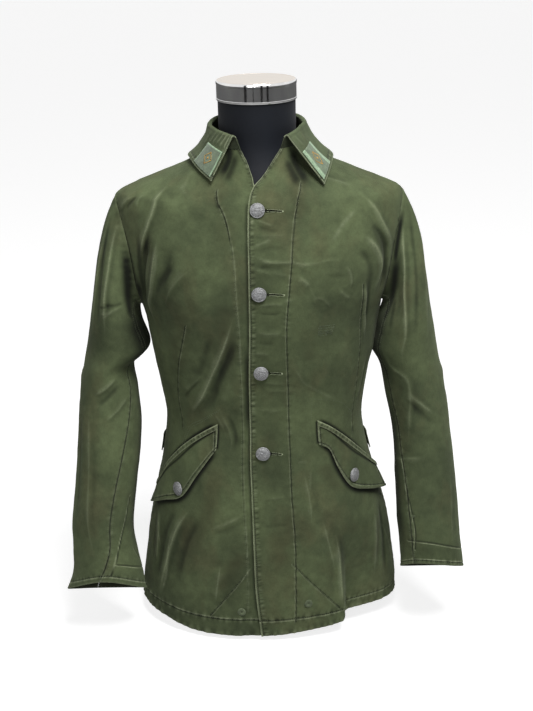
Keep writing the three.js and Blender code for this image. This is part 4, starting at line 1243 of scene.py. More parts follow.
def flap_sheet(name, tree):
    along, down = np.linspace(0, 1, 110)[None], np.linspace(0, 1, 40)[:, None]
    base = flap_point(name, along, down)
    points = flap_point(name, along, down, FLAP_STAND + FLAP_THICK)
    sheet = Sheet(points, points * [0, 0, 1], FLAP_THICK)
    sheet.rise += np.clip(carried(base, tree), -1, 4).ravel()
    sheet.rise += 0.8 * clouds(sheet.points, 24, 8)
    sheet.relief += 0.15 * clouds(sheet.points, 6, 9)
    # Painted shade in the gap under the welt
    paint_shade(sheet, sheet.lane(row=7), 1, 1.8, ends=0.05)
    sheet.tone += 0.35 if name == "right" else 0
    for side in ("high", "first", "last"):
        edge_bead(sheet, sheet.border(side), 0.5, 3, worn=1.3, wear_width=1.2)
    for lane in (sheet.lane(row=-5), sheet.lane(column=4), sheet.lane(column=-5)):
        groove(sheet, lane, 0.5, worn=0.5, dark=0.9)
        pucker(sheet, lane, 0.6, 5, 7, seed=len(lane), mark=0.25)
    round_edges(sheet, 1.3, 1.6)
    return sheet


def welt_sheet(name, tree):
    along = np.linspace(0, 1, 110)[None]
    reach = np.linalg.norm(flap_point(name, along, 1) - flap_point(name, along, 0), axis=-1)
    down = np.linspace(0, 1, 9)[:, None] * WELT / reach
    base = flap_point(name, along, down)
    points = flap_point(name, along, down, FLAP_STAND + FLAP_THICK + WELT_GAP + WELT_THICK)
    sheet = Sheet(points, points * [0, 0, 1], WELT_THICK)
    sheet.rise += np.clip(carried(base, tree), -1, 4).ravel() + 0.8 * clouds(sheet.points, 24, 8)
    pucker(sheet, sheet.lane(row=4), 0.5, 3, 5, seed=31, mark=0.8)
    for side in ("low", "high"):
        edge_bead(sheet, sheet.border(side), 0.3, 2, worn=1.2)
    round_edges(sheet, 0.7, 1.2)
    return sheet


def waist_tab_sheet(name, tree):
    along, up = np.linspace(0, 1, 60)[None], np.linspace(0, 1, 24)[:, None]
    point = np.clip(along - 0.75, 0, 1) * 4
    z = WAIST_TAB["low"] + (WAIST_TAB["high"] - WAIST_TAB["low"]) * (0.5 + (up - 0.5) * (1 - 0.6 * point))
    angle = WAIST_TAB["start"] + (WAIST_TAB["end"] - WAIST_TAB["start"]) * along
    angle = np.broadcast_to(angle, z.shape)
    around = turned(SIDES[name], angle)
    base = body(around, z)
    points = body(around, z, WAIST_TAB["lift"] + CLOTH)
    sheet = Sheet(points, points * [0, 0, 1], CLOTH)
    sheet.rise += np.clip(carried(base, tree), -0.5, 3).ravel()
    sheet.relief += 0.15 * clouds(sheet.points, 6, 9)
    for side in ("low", "high", "last"):
        edge_bead(sheet, sheet.border(side), 0.3, 2.5, worn=0.8)
    round_edges(sheet, 0.8, 1.2)
    return sheet


def tab_sheet(name):
    tab = TABS[name]
    along, down = np.linspace(0, 1, 70)[None], np.linspace(0, 1, 50)[:, None]
    share = tab["start"] + (tab["end"] - tab["start"]) * along
    across = 1 + tab["top"] + (tab["bottom"] - tab["top"]) * down
    points = collar(share, across, CLOTH / 2 + TAB_GAP + TAB_THICK)
    sheet = Sheet(points, collar(share, across), TAB_THICK)
    sheet.rise += 0.5 * clouds(sheet.points, 18, 12)
    first, last = (along, 1 - along) if name == "left" else (1 - along, along)
    sides = np.minimum(np.abs(first), np.abs(last)) + 0 * down
    if name == "left":
        pale = 1 - smoothstep(sides, 0.17, 0.2)
    else:
        pale = 0.8 - 0.8 * smoothstep(np.minimum(sides * 1.3, np.minimum(down, 1.05 - down)), 0.05, 0.09)
    sheet.worn += 0.9 * pale.ravel()
    for side in ("low", "high", "first", "last"):
        groove(sheet, sheet.lane(**dict(low=dict(row=3), high=dict(row=-4), first=dict(column=4),
                                        last=dict(column=-5))[side]), 0.2, width=0.4, dark=0.5)
    sheet.relief += 0.3 * pale.ravel() + 0.08 * clouds(sheet.points, 2.5, 14)
    round_edges(sheet, 0.5, 0.9)
    return sheet


def motif(thread, name, tree):
    """A plain open lozenge of satin stitch with a dot in it."""
    tab = TABS[name]
    middle = np.array([0.5, 0.5])
    corners = [middle + np.array(step) for step in ((0.2, 0), (0, 0.26), (-0.2, 0), (0, -0.26))]

    def spot(at):
        share = tab["start"] + (tab["end"] - tab["start"]) * at[0]
        across = 1 + tab["top"] + (tab["bottom"] - tab["top"]) * at[1]
        found, out, _, _ = tree.find_nearest(Vector(collar(share, across, CLOTH).ravel()), 10)
        return np.array(found), np.array(out)

    for a, b in zip(corners, corners[1:] + corners[:1]):
        for share in np.linspace(0, 1, 15):
            centre = a + (b - a) * share
            inner, out = spot(middle + (centre - middle) * 0.86)
            outer, _ = spot(middle + (centre - middle) * 1.1)
            thread.bit(inner, outer, out, 0.62, 0.45)
    for turn in np.linspace(0, np.pi, 7):
        step = np.array([math.cos(turn) * 0.045, math.sin(turn) * 0.06])
        (start, out), (end, _) = spot(middle - step), spot(middle + step)
        thread.bit(start, end, out, 0.6, 0.5)


def lathe(name, profile, material, columns=64, place=None, rough=0.0, seed=1, sharp=40):
    """A round solid from a profile of radius and height, turned about +Z and closed at its middle."""
    profile = np.array(profile, float)
    turns = np.linspace(0, 2 * np.pi, columns, endpoint=False)
    radius, height = profile[:, :1], profile[:, 1:]
    points = np.stack(
        [radius * np.cos(turns), radius * np.sin(turns), height + 0 * turns], -1
    )
    if rough:
        at = points.reshape(-1, 3) + 40
        shift = clouds(at, 1.7, seed) + 0.6 * clouds(at, 0.8, seed + 1)
        points[..., 2] += rough * shift.reshape(points.shape[:2]) * smoothstep(height, 1, 2.5)
    points = points.reshape(-1, 3)
    rows = len(profile)
    faces = []
    for i in range(rows - 1):
        for j in range(columns):
            n = (j + 1) % columns
            faces.append([i * columns + j, i * columns + n, (i + 1) * columns + n, (i + 1) * columns + j])
    faces.append([*range(columns)][::-1])
    faces.append([(rows - 1) * columns + j for j in range(columns)])
    if place is not None:
        points = points @ place[:3, :3].T + place[:3, 3]
    return mesh_object(name, points, faces, material, sharp)


def standing(base, out):
    """A frame with its Z along out, at a base point."""
    side = unit(np.cross([0.0, 0.0, 1.0], out))
    frame_ = np.eye(4)
    frame_[:3, :3] = np.stack([side, np.cross(out, side), out], 1)
    frame_[:3, 3] = base
    return frame_


BUTTON_PROFILE = (
    (0.5, 0), (8, 0), (9.8, 0), (10.6, 0.35), (10.8, 0.9), (10.8, 1.9), (10.5, 2.35), (10, 2.6), (9.5, 2.5),
    (9.1, 2.3), (8.7, 2.6), (8.1, 3.05), (7.5, 3.1), (6.9, 3.35), (6.2, 3.75), (5.6, 3.7), (5, 3.9),
    (4, 4.12),
    (3.3, 3.95), (2.6, 4.1), (1.4, 4.2), (0.3, 4.2),
)
STUD_PROFILE = ((0.4, 0.1), (1.6, 0.1), (1.9, 0.9), (3, 1.25), (4.4, 1.3), (5.6, 1.1), (6.3, 0.6), (6.5, 0))


def fine(profile, step):
    """A profile with points no further apart than a step."""
    profile = np.array(profile, float)
    lengths = np.concatenate([[0], np.cumsum(np.linalg.norm(np.diff(profile, axis=0), axis=1))])
    at = np.linspace(0, lengths[-1], int(lengths[-1] / step) + 2)
    at = np.unique(np.concatenate([at, lengths]))
    return np.stack([np.interp(at, lengths, profile[:, k]) for k in (0, 1)], -1)


def round_piece(name, node, base, tree, lift, profile, material, rough=0.0, seed=1):
    """A button or stud that stands on the cloth nearest to its place."""
    spot, out, _, _ = tree.find_nearest(Vector(base), 25)
    out = unit(np.array(out) * 0.4 + unit(base * [1, 1, 0]) * 0.6)
    place = standing(np.array(spot) + out * lift, out)
    made = lathe(name, fine(profile, 0.5), material, 64, place, rough, seed)
    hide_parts(node)
    return made


# Materials


def srgb(*levels):
    """A colour from 0 to 255 levels as Blender's linear values."""
    shares = np.array(levels) / 255
    linear = np.where(shares <= 0.04045, shares / 12.92, ((shares + 0.055) / 1.055) ** 2.4)
    return (*linear.tolist(), 1.0)


class Look:
    """A material and short ways to add nodes to it."""

    def __init__(self, name, **values):
        self.material = bpy.data.materials.new(name)
        self.material.use_nodes = True
        self.nodes = self.material.node_tree.nodes
        self.shader = self.nodes["Principled BSDF"]
        for key, value in values.items():
            self.shader.inputs[key.replace("_", " ")].default_value = value

    def put(self, socket, value):
        if isinstance(value, bpy.types.NodeSocket):
            self.material.node_tree.links.new(value, socket)
        else:
            socket.default_value = value

    def node(self, kind, inputs=(), output=0, **settings):
        made = self.nodes.new("ShaderNode" + kind)
        for key, value in settings.items():
            setattr(made, key, value)
        for key, value in dict(inputs).items():
            self.put(made.inputs[key], value)
        return made.outputs[output]

    def noise(self, where, scale, detail=2.0, rough=0.5):
        return self.node("TexNoise", {"Vector": where, "Scale": scale, "Detail": detail, "Roughness": rough})

    def ramp(self, value, low, high, start=0.0, end=1.0):
        return self.node(
            "MapRange", {"Value": value, "From Min": low, "From Max": high, "To Min": start, "To Max": end}
        )

    def mix(self, share, first, second, blend="MIX"):
        return self.node("Mix", {0: share, 6: first, 7: second}, 2, data_type="RGBA", blend_type=blend)

    def math(self, operation, first, second):
        return self.node("Math", {0: first, 1: second}, operation=operation)

    def scaled(self, where, *sizes):
        return self.node("Mapping", {"Vector": where, "Scale": sizes})

    def field(self, name):
        return self.node("Attribute", output=2, attribute_name=name)

    def spots(self):
        return self.node("TexCoord", output=3)

    def flat(self):
        return self.node("TexCoord", output=2)

    def finish(self, colour, height, distance, strength=1.0):
        bump = self.node("Bump", {"Height": height, "Distance": distance, "Strength": strength})
        self.put(self.shader.inputs["Base Color"], colour)
        self.put(self.shader.inputs["Normal"], bump)
        return self.material


def cloth_look(name, deep, mid, brown, pale, shade):
    """Washed cotton twill: fades in large soft patches, fine yarn noise, pale wear with painted highlight on
    crests, and painted shade in seams, folds, slits and under the pieces that lie on it.
    """
    look = Look(name, Roughness=0.9, Sheen_Weight=0.14, Sheen_Roughness=0.5)
    look.shader.inputs["Specular IOR Level"].default_value = 0.16
    look.shader.inputs["Sheen Tint"].default_value = srgb(176, 186, 156)
    spots, flat = look.spots(), look.flat()
    patches = look.ramp(look.noise(spots, 9, 3, 0.55), 0.35, 0.68)
    colour = look.mix(patches, deep, mid)
    warm = look.ramp(look.noise(look.scaled(spots, 1, 1, 0.6), 17, 3, 0.6), 0.5, 0.72, 0, 0.5)
    colour = look.mix(warm, colour, brown)
    mottle = look.ramp(look.noise(spots, 75, 5, 0.65), 0.3, 0.7, 0.82, 1.16)
    colour = look.mix(1.0, colour, look.node("CombineColor", {0: mottle, 1: mottle, 2: mottle}), "MULTIPLY")
    slub = look.noise(look.scaled(flat, 1400, 160, 1), 1, 3, 0.7)
    cross = look.noise(look.scaled(flat, 160, 1400, 1), 1, 3, 0.7)
    yarn = look.math("ADD", slub, cross)
    tone = look.ramp(yarn, 0.6, 1.4, 0.84, 1.18)
    colour = look.mix(1.0, colour, look.node("CombineColor", {0: tone, 1: tone, 2: tone}), "MULTIPLY")
    broken = look.ramp(look.noise(spots, 420, 4, 0.7), 0.34, 0.62)
    worn = look.math("MULTIPLY", look.field("worn"), look.ramp(broken, 0, 1, 0.45, 1.0))
    tone = look.field("tone")
    lighter = look.ramp(tone, -1, 1, 0.5, 1.5)
    colour = look.mix(look.ramp(tone, -0.1, -0.9, 0, 0.55), colour, brown)
    grey = look.node("CombineColor", {0: lighter, 1: lighter, 2: lighter})
    colour = look.mix(1.0, colour, grey, "MULTIPLY")
    colour = look.mix(look.ramp(worn, 0, 1, 0, 0.85), colour, pale)
    # Painted shade, down to near black
    colour = look.mix(look.ramp(look.field("dark"), 0, 1, 0, 0.95), colour, shade)
    twill = look.node(
        "TexWave", {"Vector": flat, "Scale": 350.0, "Distortion": 0.6, "Detail": 1.0}, 1,
        bands_direction="DIAGONAL"
    )
    weave = look.math("ADD", look.math("MULTIPLY", twill, 0.6), look.math("MULTIPLY", yarn, 0.9))
    return look.finish(colour, weave, 0.00022, 0.7)


def felt_look():
    """Grey-green felt with woven pale bands, where worn is high, and painted shade in its sewn grooves."""
    look = Look("collar_tab_felt", Roughness=0.93, Sheen_Weight=0.35)
    spots = look.spots()
    mottle = look.ramp(look.noise(spots, 140, 4, 0.6), 0.35, 0.65)
    base = look.mix(mottle, srgb(80, 94, 74), srgb(100, 114, 90))
    fine_mottle = look.ramp(look.noise(spots, 300, 3, 0.6), 0.35, 0.65)
    mint = look.mix(fine_mottle, srgb(116, 142, 112), srgb(146, 168, 138))
    colour = look.mix(look.ramp(look.field("worn"), 0.2, 0.6), base, mint)
    colour = look.mix(look.ramp(look.field("dark"), 0, 1, 0, 0.6), colour, srgb(52, 60, 46))
    fibres = look.noise(look.scaled(spots, 1, 1, 1), 1500, 3, 0.7)
    return look.finish(colour, fibres, 0.0003, 0.8)


def thread_look(name, first, second):
    look = Look(name, Roughness=0.75, Sheen_Weight=0.15)
    spots = look.spots()
    colour = look.mix(look.ramp(look.noise(spots, 90, 3, 0.6), 0.35, 0.65), first, second)
    return look.finish(colour, look.noise(spots, 2500, 2), 0.0001, 0.6)


def button_look():
    """Dull grey stamped metal with dark hollows."""
    look = Look("button_metal", Metallic=0.3, Roughness=0.55)
    spots = look.spots()
    pits = look.noise(spots, 900, 3, 0.6)
    colour = look.mix(look.ramp(pits, 0.36, 0.62), srgb(92, 93, 94), srgb(160, 161, 162))
    colour = look.mix(look.ramp(look.noise(spots, 120, 3), 0.4, 0.7, 0, 0.4), colour, srgb(120, 119, 116))
    return look.finish(colour, pits, 0.0005, 0.8)


def form_look():
    """Near-black stretched jersey over the form."""
    look = Look("form_jersey", Roughness=0.7, Sheen_Weight=0.04)
    look.shader.inputs["Specular IOR Level"].default_value = 0.2
    spots = look.spots()
    colour = look.mix(look.ramp(look.noise(spots, 16, 3), 0.35, 0.7), srgb(10, 13, 19), srgb(15, 19, 26))
    knit = look.noise(look.scaled(spots, 1, 1, 1.6), 1300, 2, 0.6)
    return look.finish(colour, knit, 0.0002, 0.5)


def cap_look():
    """Polished chrome with faint smears, and a brushed, slightly warm upper face."""
    look = Look("cap_chrome", Metallic=1.0)
    spots = look.spots()
    apart = look.node("SeparateXYZ", {"Vector": spots}, 2)
    top = look.ramp(apart, (CAP_TOP - 0.6) * MM, (CAP_TOP - 0.1) * MM)
    smear = look.ramp(look.noise(look.scaled(spots, 1, 1, 0.3), 60, 3, 0.6), 0.4, 0.7)
    colour = look.mix(smear, srgb(222, 222, 222), srgb(236, 236, 234))
    colour = look.mix(top, colour, srgb(214, 206, 196))
    rough = look.math("ADD", look.ramp(top, 0, 1, 0.07, 0.34), look.ramp(smear, 0, 1, 0, 0.04))
    look.put(look.shader.inputs["Roughness"], rough)
    brush = look.noise(look.scaled(spots, 1, 14, 1), 240, 3, 0.6)
    return look.finish(colour, brush, 0.00002, 0.3)


cloth = cloth_look(
    "washed_twill", srgb(61, 69, 48), srgb(84, 94, 65), srgb(82, 80, 56), srgb(164, 172, 140), srgb(4, 5, 5)
)
collar_cloth = cloth_look(
    "collar_twill", srgb(66, 75, 54), srgb(88, 98, 72), srgb(84, 85, 64), srgb(168, 176, 146), srgb(4, 5, 5)
)
felt = felt_look()
olive_thread = thread_look("olive_thread", srgb(62, 72, 48), srgb(88, 98, 70))
pale_thread = thread_look("pale_thread", srgb(126, 136, 104), srgb(164, 172, 140))
ochre_thread = thread_look("ochre_thread", srgb(150, 112, 46), srgb(186, 146, 66))
metal = button_look()
jersey = form_look()
chrome = cap_look()


shape_body()
shape_seams()
shape_borders()
shape_lap()
shape_armholes()
shape_pockets()
shape_sleeves()
shape_collar()

trees = {name: sheet.tree() for name, sheet in fronts.items()}
trees["back"] = back.tree()


def buttonhole(thread, sheet, tree, z):
    """A worked buttonhole: a slit that narrows and droops away from the button, with pale thread lips."""
    line = body_line(((-88.5, z - 0.5), (-85, z - 1), (-81, z - 2.6)), 0.8)
    lengths = measured(line)
    # Painted shade in the slit
    paint_shade(sheet, line[: len(line) * 2 // 3], 1, 2, ends=0.1)
    paint_shade(sheet, line, 1, 1.2, ends=0.1)
    groove(sheet, line, 1.2, width=0.7, dark=1)
    groove(sheet, body_line(((-88.5, z - 2.5), (-86, z - 2.8), (-84, z - 2.2)), 0.8), 1.4, width=0.9, dark=1)
    for at in np.arange(8, lengths[-1], 1.1):
        centre, ahead = resample(line, lengths, np.array([at, at + 0.5]))
        found, out, _, _ = tree.find_nearest(Vector(centre), 25)
        found, out = np.array(found), np.array(out)
        side = unit(np.cross(out, ahead - centre))
        for way in (-1, 1):
            thread.bit(found + side * way * 1.1, found + side * way * 2.1, out, 0.6, 0.3)
    found, out, _, _ = tree.find_nearest(Vector(line[-1]), 25)
    found, out = np.array(found), np.array(out)
    up = np.array([0.0, 0.0, 1.0])
    for step in (-0.3, 0.4, 1.1):
        aside = unit(np.cross(up, out)) * step
        thread.bit(found - up * 1.8 + aside, found + up * 1.8 + aside, out, 0.6, 0.4)


def darn(thread, tree):
    """A small worn patch on the chest, darned with loose threads both ways."""
    rng = np.random.default_rng(17)
    for k in range(46):
        upright = k % 2 == 0
        at, jitter = rng.uniform(0, 1), rng.uniform(-1.2, 1.2)
        if upright:
            angle = -63.4 + 9.2 * at
            ends = ((angle, 493 + jitter * 2), (angle + rng.uniform(-0.4, 0.4), 508 + jitter * 2))
        else:
            z = 492 + 17 * at
            ends = ((-63.5 + jitter * 0.4, z), (-54.3 + jitter * 0.4, z + rng.uniform(-1, 1)))
        line = body_line(ends, 2.0)
        thread.row(tree, line, 3.2, 0.5, 0.42, 0.2, seed=k, skip=0.25)


def bar_tack(thread, tree, centre, way, width=7.0, count=9):
    """A close row of short threads across a seam's end, some of them loose."""
    rng = np.random.default_rng(int(abs(centre[2])))
    way = unit(np.asarray(way, float))
    for step in np.linspace(-width / 2, width / 2, count):
        found, out, _, _ = tree.find_nearest(Vector(centre + way * step), 25)
        found, out = np.array(found), np.array(out)
        across = unit(np.cross(out, way)) * rng.uniform(1.4, 2.6)
        thread.bit(found - across, found + across * rng.uniform(0.7, 1.6), out, 0.5, 0.5)


def stitch_fronts():
    for name, sheet in fronts.items():
        thread, tree = Thread(), trees[name]
        facing = body_line(BODY_SEAMS["facing_" + name][3:])
        thread.row(tree, facing, offset=1.5 if name == "left" else -1.5, seed=2, skip=0.04)
        thread.row(tree, body_line(BODY_SEAMS["diagonal_" + name][3:]), seed=3, skip=0.05)
        thread.row(tree, sheet.lane(column=3), seed=4, skip=0.05)
        thread.row(tree, sheet.lane(row=int(HEM_TURN / 2)), seed=5, skip=0.06)
        for row in POCKET_ROWS:
            if (row[0][0] > -90) == (name == "left"):
                thread.row(tree, body_line(row), seed=6)
        if name == "left":
            worked = Thread()
            for z in FRONT_BUTTONS:
                buttonhole(worked, sheet, tree, z)
            worked.made("stitches_buttonholes", pale_thread)
            darn(thread, tree)
            mark = body_line(((-67.5, 273), (-68.5, 245), (-70.5, 216), (-70.5, 200)))
            thread.row(tree, mark, 3.4, 2.6, 0.4, 0.1, seed=8, skip=0.3)
        thread.made("stitches_front_" + name, olive_thread)


stitch_fronts()


def cloth_piece(name, node, sheet, material):
    made = cloth_object(name, sheet, material)
    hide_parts(node)
    return made


made = {}
for name, sheet in fronts.items():
    made["front_" + name] = cloth_piece("cloth_front_" + name, "front_" + name, sheet, cloth)
made["back"] = cloth_piece("cloth_back", "back", back, cloth)
for (name, piece), sheet in sleeves.items():
    node = f"sleeve_{name}_{piece}"
    made[node] = cloth_piece("cloth_" + node, node, sheet, cloth)
made["collar_fall"] = cloth_piece("cloth_collar_fall", "collar_fall", fall, collar_cloth)
made["collar_stand"] = cloth_piece("cloth_collar_stand", "collar_stand", stand, collar_cloth)


TACKS = dict(left=(8.1, 122), right=(9.25, 104))


def stitch_rest():
    thread = Thread()
    thread.row(trees["back"], back.lane(row=int(HEM_TURN / 2)), seed=12, skip=0.05)
    thread.made("stitches_back", olive_thread)
    for name in SIDES:
        thread = Thread()
        for piece in ("top", "under"):
            sheet = sleeves[name, piece]
            tree = sheet.tree()
            thread.row(tree, sheet.lane(row=-int(CUFF_TURN / 2) - 1), seed=13, skip=0.05)
            thread.row(tree, sheet.lane(column=-3 if piece == "top" else 2), seed=14, skip=0.06)
            if piece == "top":
                row, turn = TACKS[name]
                spot = sleeve(name, row, turn)
                bar_tack(thread, tree, spot, sleeve(name, row, turn + 8) - spot)
        thread.made("stitches_sleeve_" + name, olive_thread)
    thread, tree = Thread(), fall.tree()
    thread.row(tree, fall.lane(row=-5), seed=15, skip=0.04)
    thread.row(tree, fall.lane(column=2), seed=16)
    thread.row(tree, fall.lane(column=-3), seed=17)
    thread.made("stitches_collar", olive_thread)


stitch_rest()

for name, sheet in fronts.items():
    tree = trees[name]
    flap, welt = flap_sheet(name, tree), welt_sheet(name, tree)
    flap_piece = cloth_piece("cloth_pocket_flap_" + name, "pocket_flap_" + name, flap, cloth)
    welt_piece = cloth_piece("cloth_pocket_welt_" + name, "pocket_welt_" + name, welt, cloth)
    thread, flap_tree = Thread(), flap.tree()
    for lane in (flap.lane(row=-5), flap.lane(column=4), flap.lane(column=-5)):
        thread.row(flap_tree, lane, seed=21, skip=0.04)
    thread.row(welt.tree(), welt.lane(row=4), seed=22)
    thread.made("stitches_pocket_" + name, olive_thread)
    tab = tab_sheet(name)
    tab_piece = cloth_piece("cloth_collar_tab_" + name, "collar_tab_" + name, tab, felt)
    thread = Thread()
    motif(thread, name, tab.tree())
    thread.made("motif_collar_tab_" + name, ochre_thread)
    waist = waist_tab_sheet(name, trees["back"])
    waist_piece = cloth_piece("cloth_waist_tab_" + name, "waist_tab_" + name, waist, cloth)
    along, down = POCKET_BUTTONS[name]
    base = flap_point(name, along, down)
    made["button_" + name] = round_piece(
        "metal_button_pocket_" + name, "button_pocket_" + name, base, flap_tree, 0.8, BUTTON_PROFILE,
        metal, 0.28, 5
    )
    angle, z = STUDS[name]
    made["stud_" + name] = round_piece(
        "thread_hem_stud_" + name, "hem_stud_" + name, body(turned(SIDES[name], angle), z), tree, 0.3,
        STUD_PROFILE,
        olive_thread, 0.1, 7,
    )
    made["flap_" + name], made["welt_" + name], made["tab_" + name] = flap_piece, welt_piece, tab_piece
    made["waist_tab_" + name] = waist_piece

for number, z in enumerate(FRONT_BUTTONS, 1):
    made[f"button_{number}"] = round_piece(
        f"metal_button_front_{number}", f"button_front_{number}", body(-90, z), trees["left"], 1.2,
        BUTTON_PROFILE,
        metal, 0.28, 10 + number,
    )


# What it stands on


def form_piece():
    heights = np.unique(np.concatenate([np.linspace(0, 820, 165), [0.0, 1.5, 3.0]]))
    turns = np.linspace(0, 2 * np.pi, 128, endpoint=False)
    c, s = np.cos(turns), np.sin(turns)
    wide, front, rear = (read(FORM, key, heights)[:, None] for key in ("wide", "front", "back"))
    tuck = 1 - 0.02 * (1 - smoothstep(heights, 0, 4))[:, None]
    deep = np.where(s < 0, front, rear)
    points = np.stack([wide * tuck * c, deep * tuck * s, heights[:, None] + 0 * c], -1)
    rows, columns = points.shape[:2]
    faces = [
        [
            i * columns + j,
            i * columns + (j + 1) % columns,
            (i + 1) * columns + (j + 1) % columns,
            (i + 1) * columns + j,
        ]
        for i in range(rows - 1) for j in range(columns)
    ]
    faces += [[*range(columns)][::-1], [(rows - 1) * columns + j for j in range(columns)]]
    piece = mesh_object("form_torso", points.reshape(-1, 3), faces, jersey, 40)
    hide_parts("dress_form")


CAP_PROFILE = (
    (0.5, CAP_BOTTOM), (57.5, CAP_BOTTOM), (58.6, CAP_BOTTOM + 0.4), (59, CAP_BOTTOM + 1.4),
    (59, CAP_BOTTOM + 3),
    (58.5, CAP_BOTTOM + 3.5), (58.5, CAP_TOP - 6.5), (59, CAP_TOP - 6), (59, CAP_TOP - 2.5),
    (58.7, CAP_TOP - 1.4),
    (58, CAP_TOP - 0.5), (56.6, CAP_TOP), (53, CAP_TOP), (52.6, CAP_TOP - 0.4), (52.2, CAP_TOP),
    (0.5, CAP_TOP),
)
form_piece()
cap_piece = lathe("bright_neck_cap", fine(CAP_PROFILE, 3), chrome, 160)
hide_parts("neck_cap")


# How each piece of cloth was cut, in metres

FLAP_AREA = dict(left=0.0081, right=0.0092)
WELT_AREA = dict(left=0.00116, right=0.0013)
FLAT = dict(
    front_left=(
        (0.320, 0.880), 0.195, "hung", ["form_torso"], ["stitches_front_left", "stitches_buttonholes"],
    ),
    front_right=((0.330, 0.890), 0.205, "hung", ["form_torso"], ["stitches_front_right"]),
    back=((0.530, 0.880), 0.330, "hung", ["form_torso"], ["stitches_back"]),
    sleeve_left_top=(
        (0.270, 0.620), 0.105, "hung", ["cloth_front_left", "cloth_back"], ["stitches_sleeve_left"],
    ),
    sleeve_left_under=((0.175, 0.590), 0.065, "hung", ["cloth_front_left", "cloth_back"], []),
    sleeve_right_top=(
        (0.275, 0.650), 0.107, "hung", ["cloth_front_right", "cloth_back"], ["stitches_sleeve_right"],
    ),
    sleeve_right_under=((0.205, 0.620), 0.076, "hung", ["cloth_front_right", "cloth_back"], []),
    collar_fall=((0.530, 0.095), 0.033, "folded", ["cloth_collar_stand"], ["stitches_collar"]),
    collar_stand=((0.430, 0.030), 0.0097, "folded", ["cloth_back"], []),
)
for name in SIDES:
    front, flap = ["cloth_front_" + name], ["cloth_pocket_flap_" + name]
    threads, motif = ["stitches_pocket_" + name], ["motif_collar_tab_" + name]
    FLAT["flap_" + name] = ((0.155, 0.065), FLAP_AREA[name], "laid", front, threads)
    FLAT["welt_" + name] = ((0.150, 0.010), WELT_AREA[name], "laid", flap, [])
    FLAT["tab_" + name] = ((0.050, 0.035), 0.0017, "laid", ["cloth_collar_fall"], motif)
    FLAT["waist_tab_" + name] = ((0.050, 0.030), 0.00135, "laid", ["cloth_back"], [])


# Floor, light and camera


def plain_look(name, colour, glow):
    look = Look(name, Roughness=0.95)
    look.shader.inputs["Base Color"].default_value = colour
    look.shader.inputs["Emission Color"].default_value = (1, 1, 1, 1)
    look.shader.inputs["Emission Strength"].default_value = glow
    return look.material


def floor_look():
    """Pale to the camera with a faint shadow, and darker in the light that it sends back."""
    look = Look("floor_pale", Roughness=0.95)
    look.shader.inputs["Base Color"].default_value = (0.42, 0.42, 0.42, 1)
    look.shader.inputs["Emission Color"].default_value = (1, 1, 1, 1)
    seen_by_camera = look.node("LightPath")
    look.put(look.shader.inputs["Emission Strength"], look.ramp(seen_by_camera, 0, 1, 0, 0.8))
    return look.material


def plane(name, corners, material):
    mesh = bpy.data.meshes.new(name)
    mesh.from_pydata(corners, [], [[0, 1, 2, 3]])
    mesh.materials.append(material)
    made_plane = bpy.data.objects.new(name, mesh)
    bpy.context.scene.collection.objects.link(made_plane)
    return made_plane


FLOOR = 12
plane("floor", [(-FLOOR, -FLOOR, 0), (FLOOR, -FLOOR, 0), (FLOOR, FLOOR, 0), (-FLOOR, FLOOR, 0)],
      floor_look())
dark_card = plain_look("card_dark", (0.01, 0.01, 0.01, 1), 0)
for number, (x, width) in enumerate(((-1.5, 0.45), (-0.35, 0.12), (0.75, 0.3), (1.7, 0.4)), 1):
    first, last = x - width / 2, x + width / 2
    corners = [(first, -2.6, 0.2), (last, -2.6, 0.2), (last, -2.6, 2.4), (first, -2.6, 2.4)]
    card = plane(f"card_{number}", corners, dark_card)
    for kind in ("camera", "diffuse", "shadow", "transmission"):
        setattr(card, "visible_" + kind, False)


def area_light(name, place, towards, size, power):
    light = bpy.data.lights.new(name, "AREA")
    light.shape = "SQUARE"
    light.size = size
    light.energy = power
    lamp = bpy.data.objects.new(name, light)
    lamp.location = place
    lamp.rotation_euler = (Vector(towards) - Vector(place)).to_track_quat("-Z", "Y").to_euler()
    bpy.context.scene.collection.objects.link(lamp)


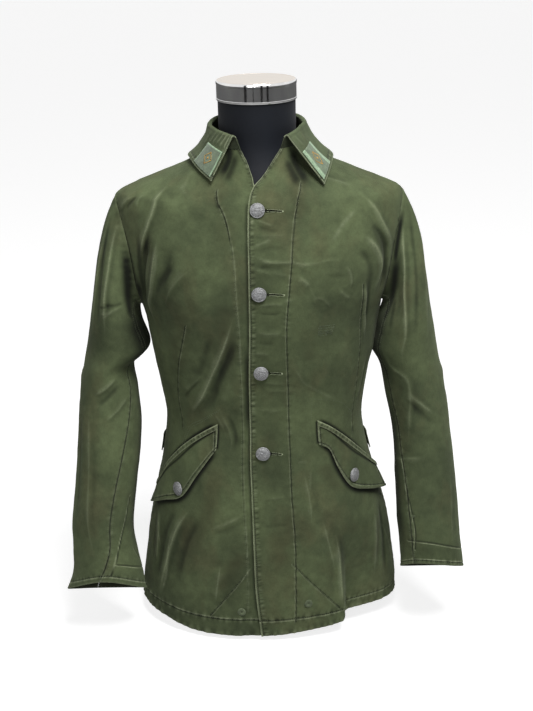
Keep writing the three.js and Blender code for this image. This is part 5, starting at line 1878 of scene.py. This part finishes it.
area_light("overhead", (0.5, -1.0, 2.6), (0, 0, 0.5), 1.1, 80)
area_light("front_fill", (-0.6, -2.8, 1.3), (0, 0, 0.45), 1.2, 15)

world = bpy.data.worlds.new("studio")
bpy.context.scene.world = world
world.use_nodes = True
nodes, links = world.node_tree.nodes, world.node_tree.links
background = nodes["Background"]
background.inputs["Color"].default_value = (1, 1, 1, 1)
seen = nodes.new("ShaderNodeLightPath")
seen_by = nodes.new("ShaderNodeMath")
seen_by.operation = "MAXIMUM"
level = nodes.new("ShaderNodeMapRange")
level.inputs["To Min"].default_value = 0.15
level.inputs["To Max"].default_value = 1.0
links.new(seen.outputs["Is Camera Ray"], seen_by.inputs[0])
links.new(seen.outputs["Is Glossy Ray"], seen_by.inputs[1])
links.new(seen_by.outputs["Value"], level.inputs["Value"])
links.new(level.outputs["Result"], background.inputs["Strength"])
bpy.context.scene.view_settings.view_transform = "Standard"

# The camera stands slightly to the wearer's left, looks down and leans a little
CAMERA_FAR = 2.0
CAMERA_HEIGHT = 1.135
AROUND, DOWN, LEAN = math.radians(1.5), math.radians(19.6), math.radians(1.4)
back_way = Vector((math.sin(AROUND) * math.cos(DOWN), -math.cos(AROUND) * math.cos(DOWN), math.sin(DOWN)))
level_right = Vector((math.cos(AROUND), math.sin(AROUND), 0))
level_up = level_right.cross(-back_way)
right = math.cos(LEAN) * level_right - math.sin(LEAN) * level_up
up = math.sin(LEAN) * level_right + math.cos(LEAN) * level_up
lens = bpy.data.cameras.new("camera")
lens.sensor_width = 36
lens.lens = 1365 * 36 / 711
lens.shift_x = 3.7 / 711
camera = bpy.data.objects.new("camera", lens)
camera.matrix_world = Matrix(
    (
        (right.x, up.x, back_way.x, math.sin(AROUND) * CAMERA_FAR),
        (right.y, up.y, back_way.y, -math.cos(AROUND) * CAMERA_FAR),
        (right.z, up.z, back_way.z, CAMERA_HEIGHT),
        (0, 0, 0, 1),
    )
)
bpy.context.scene.collection.objects.link(camera)
bpy.context.scene.camera = camera
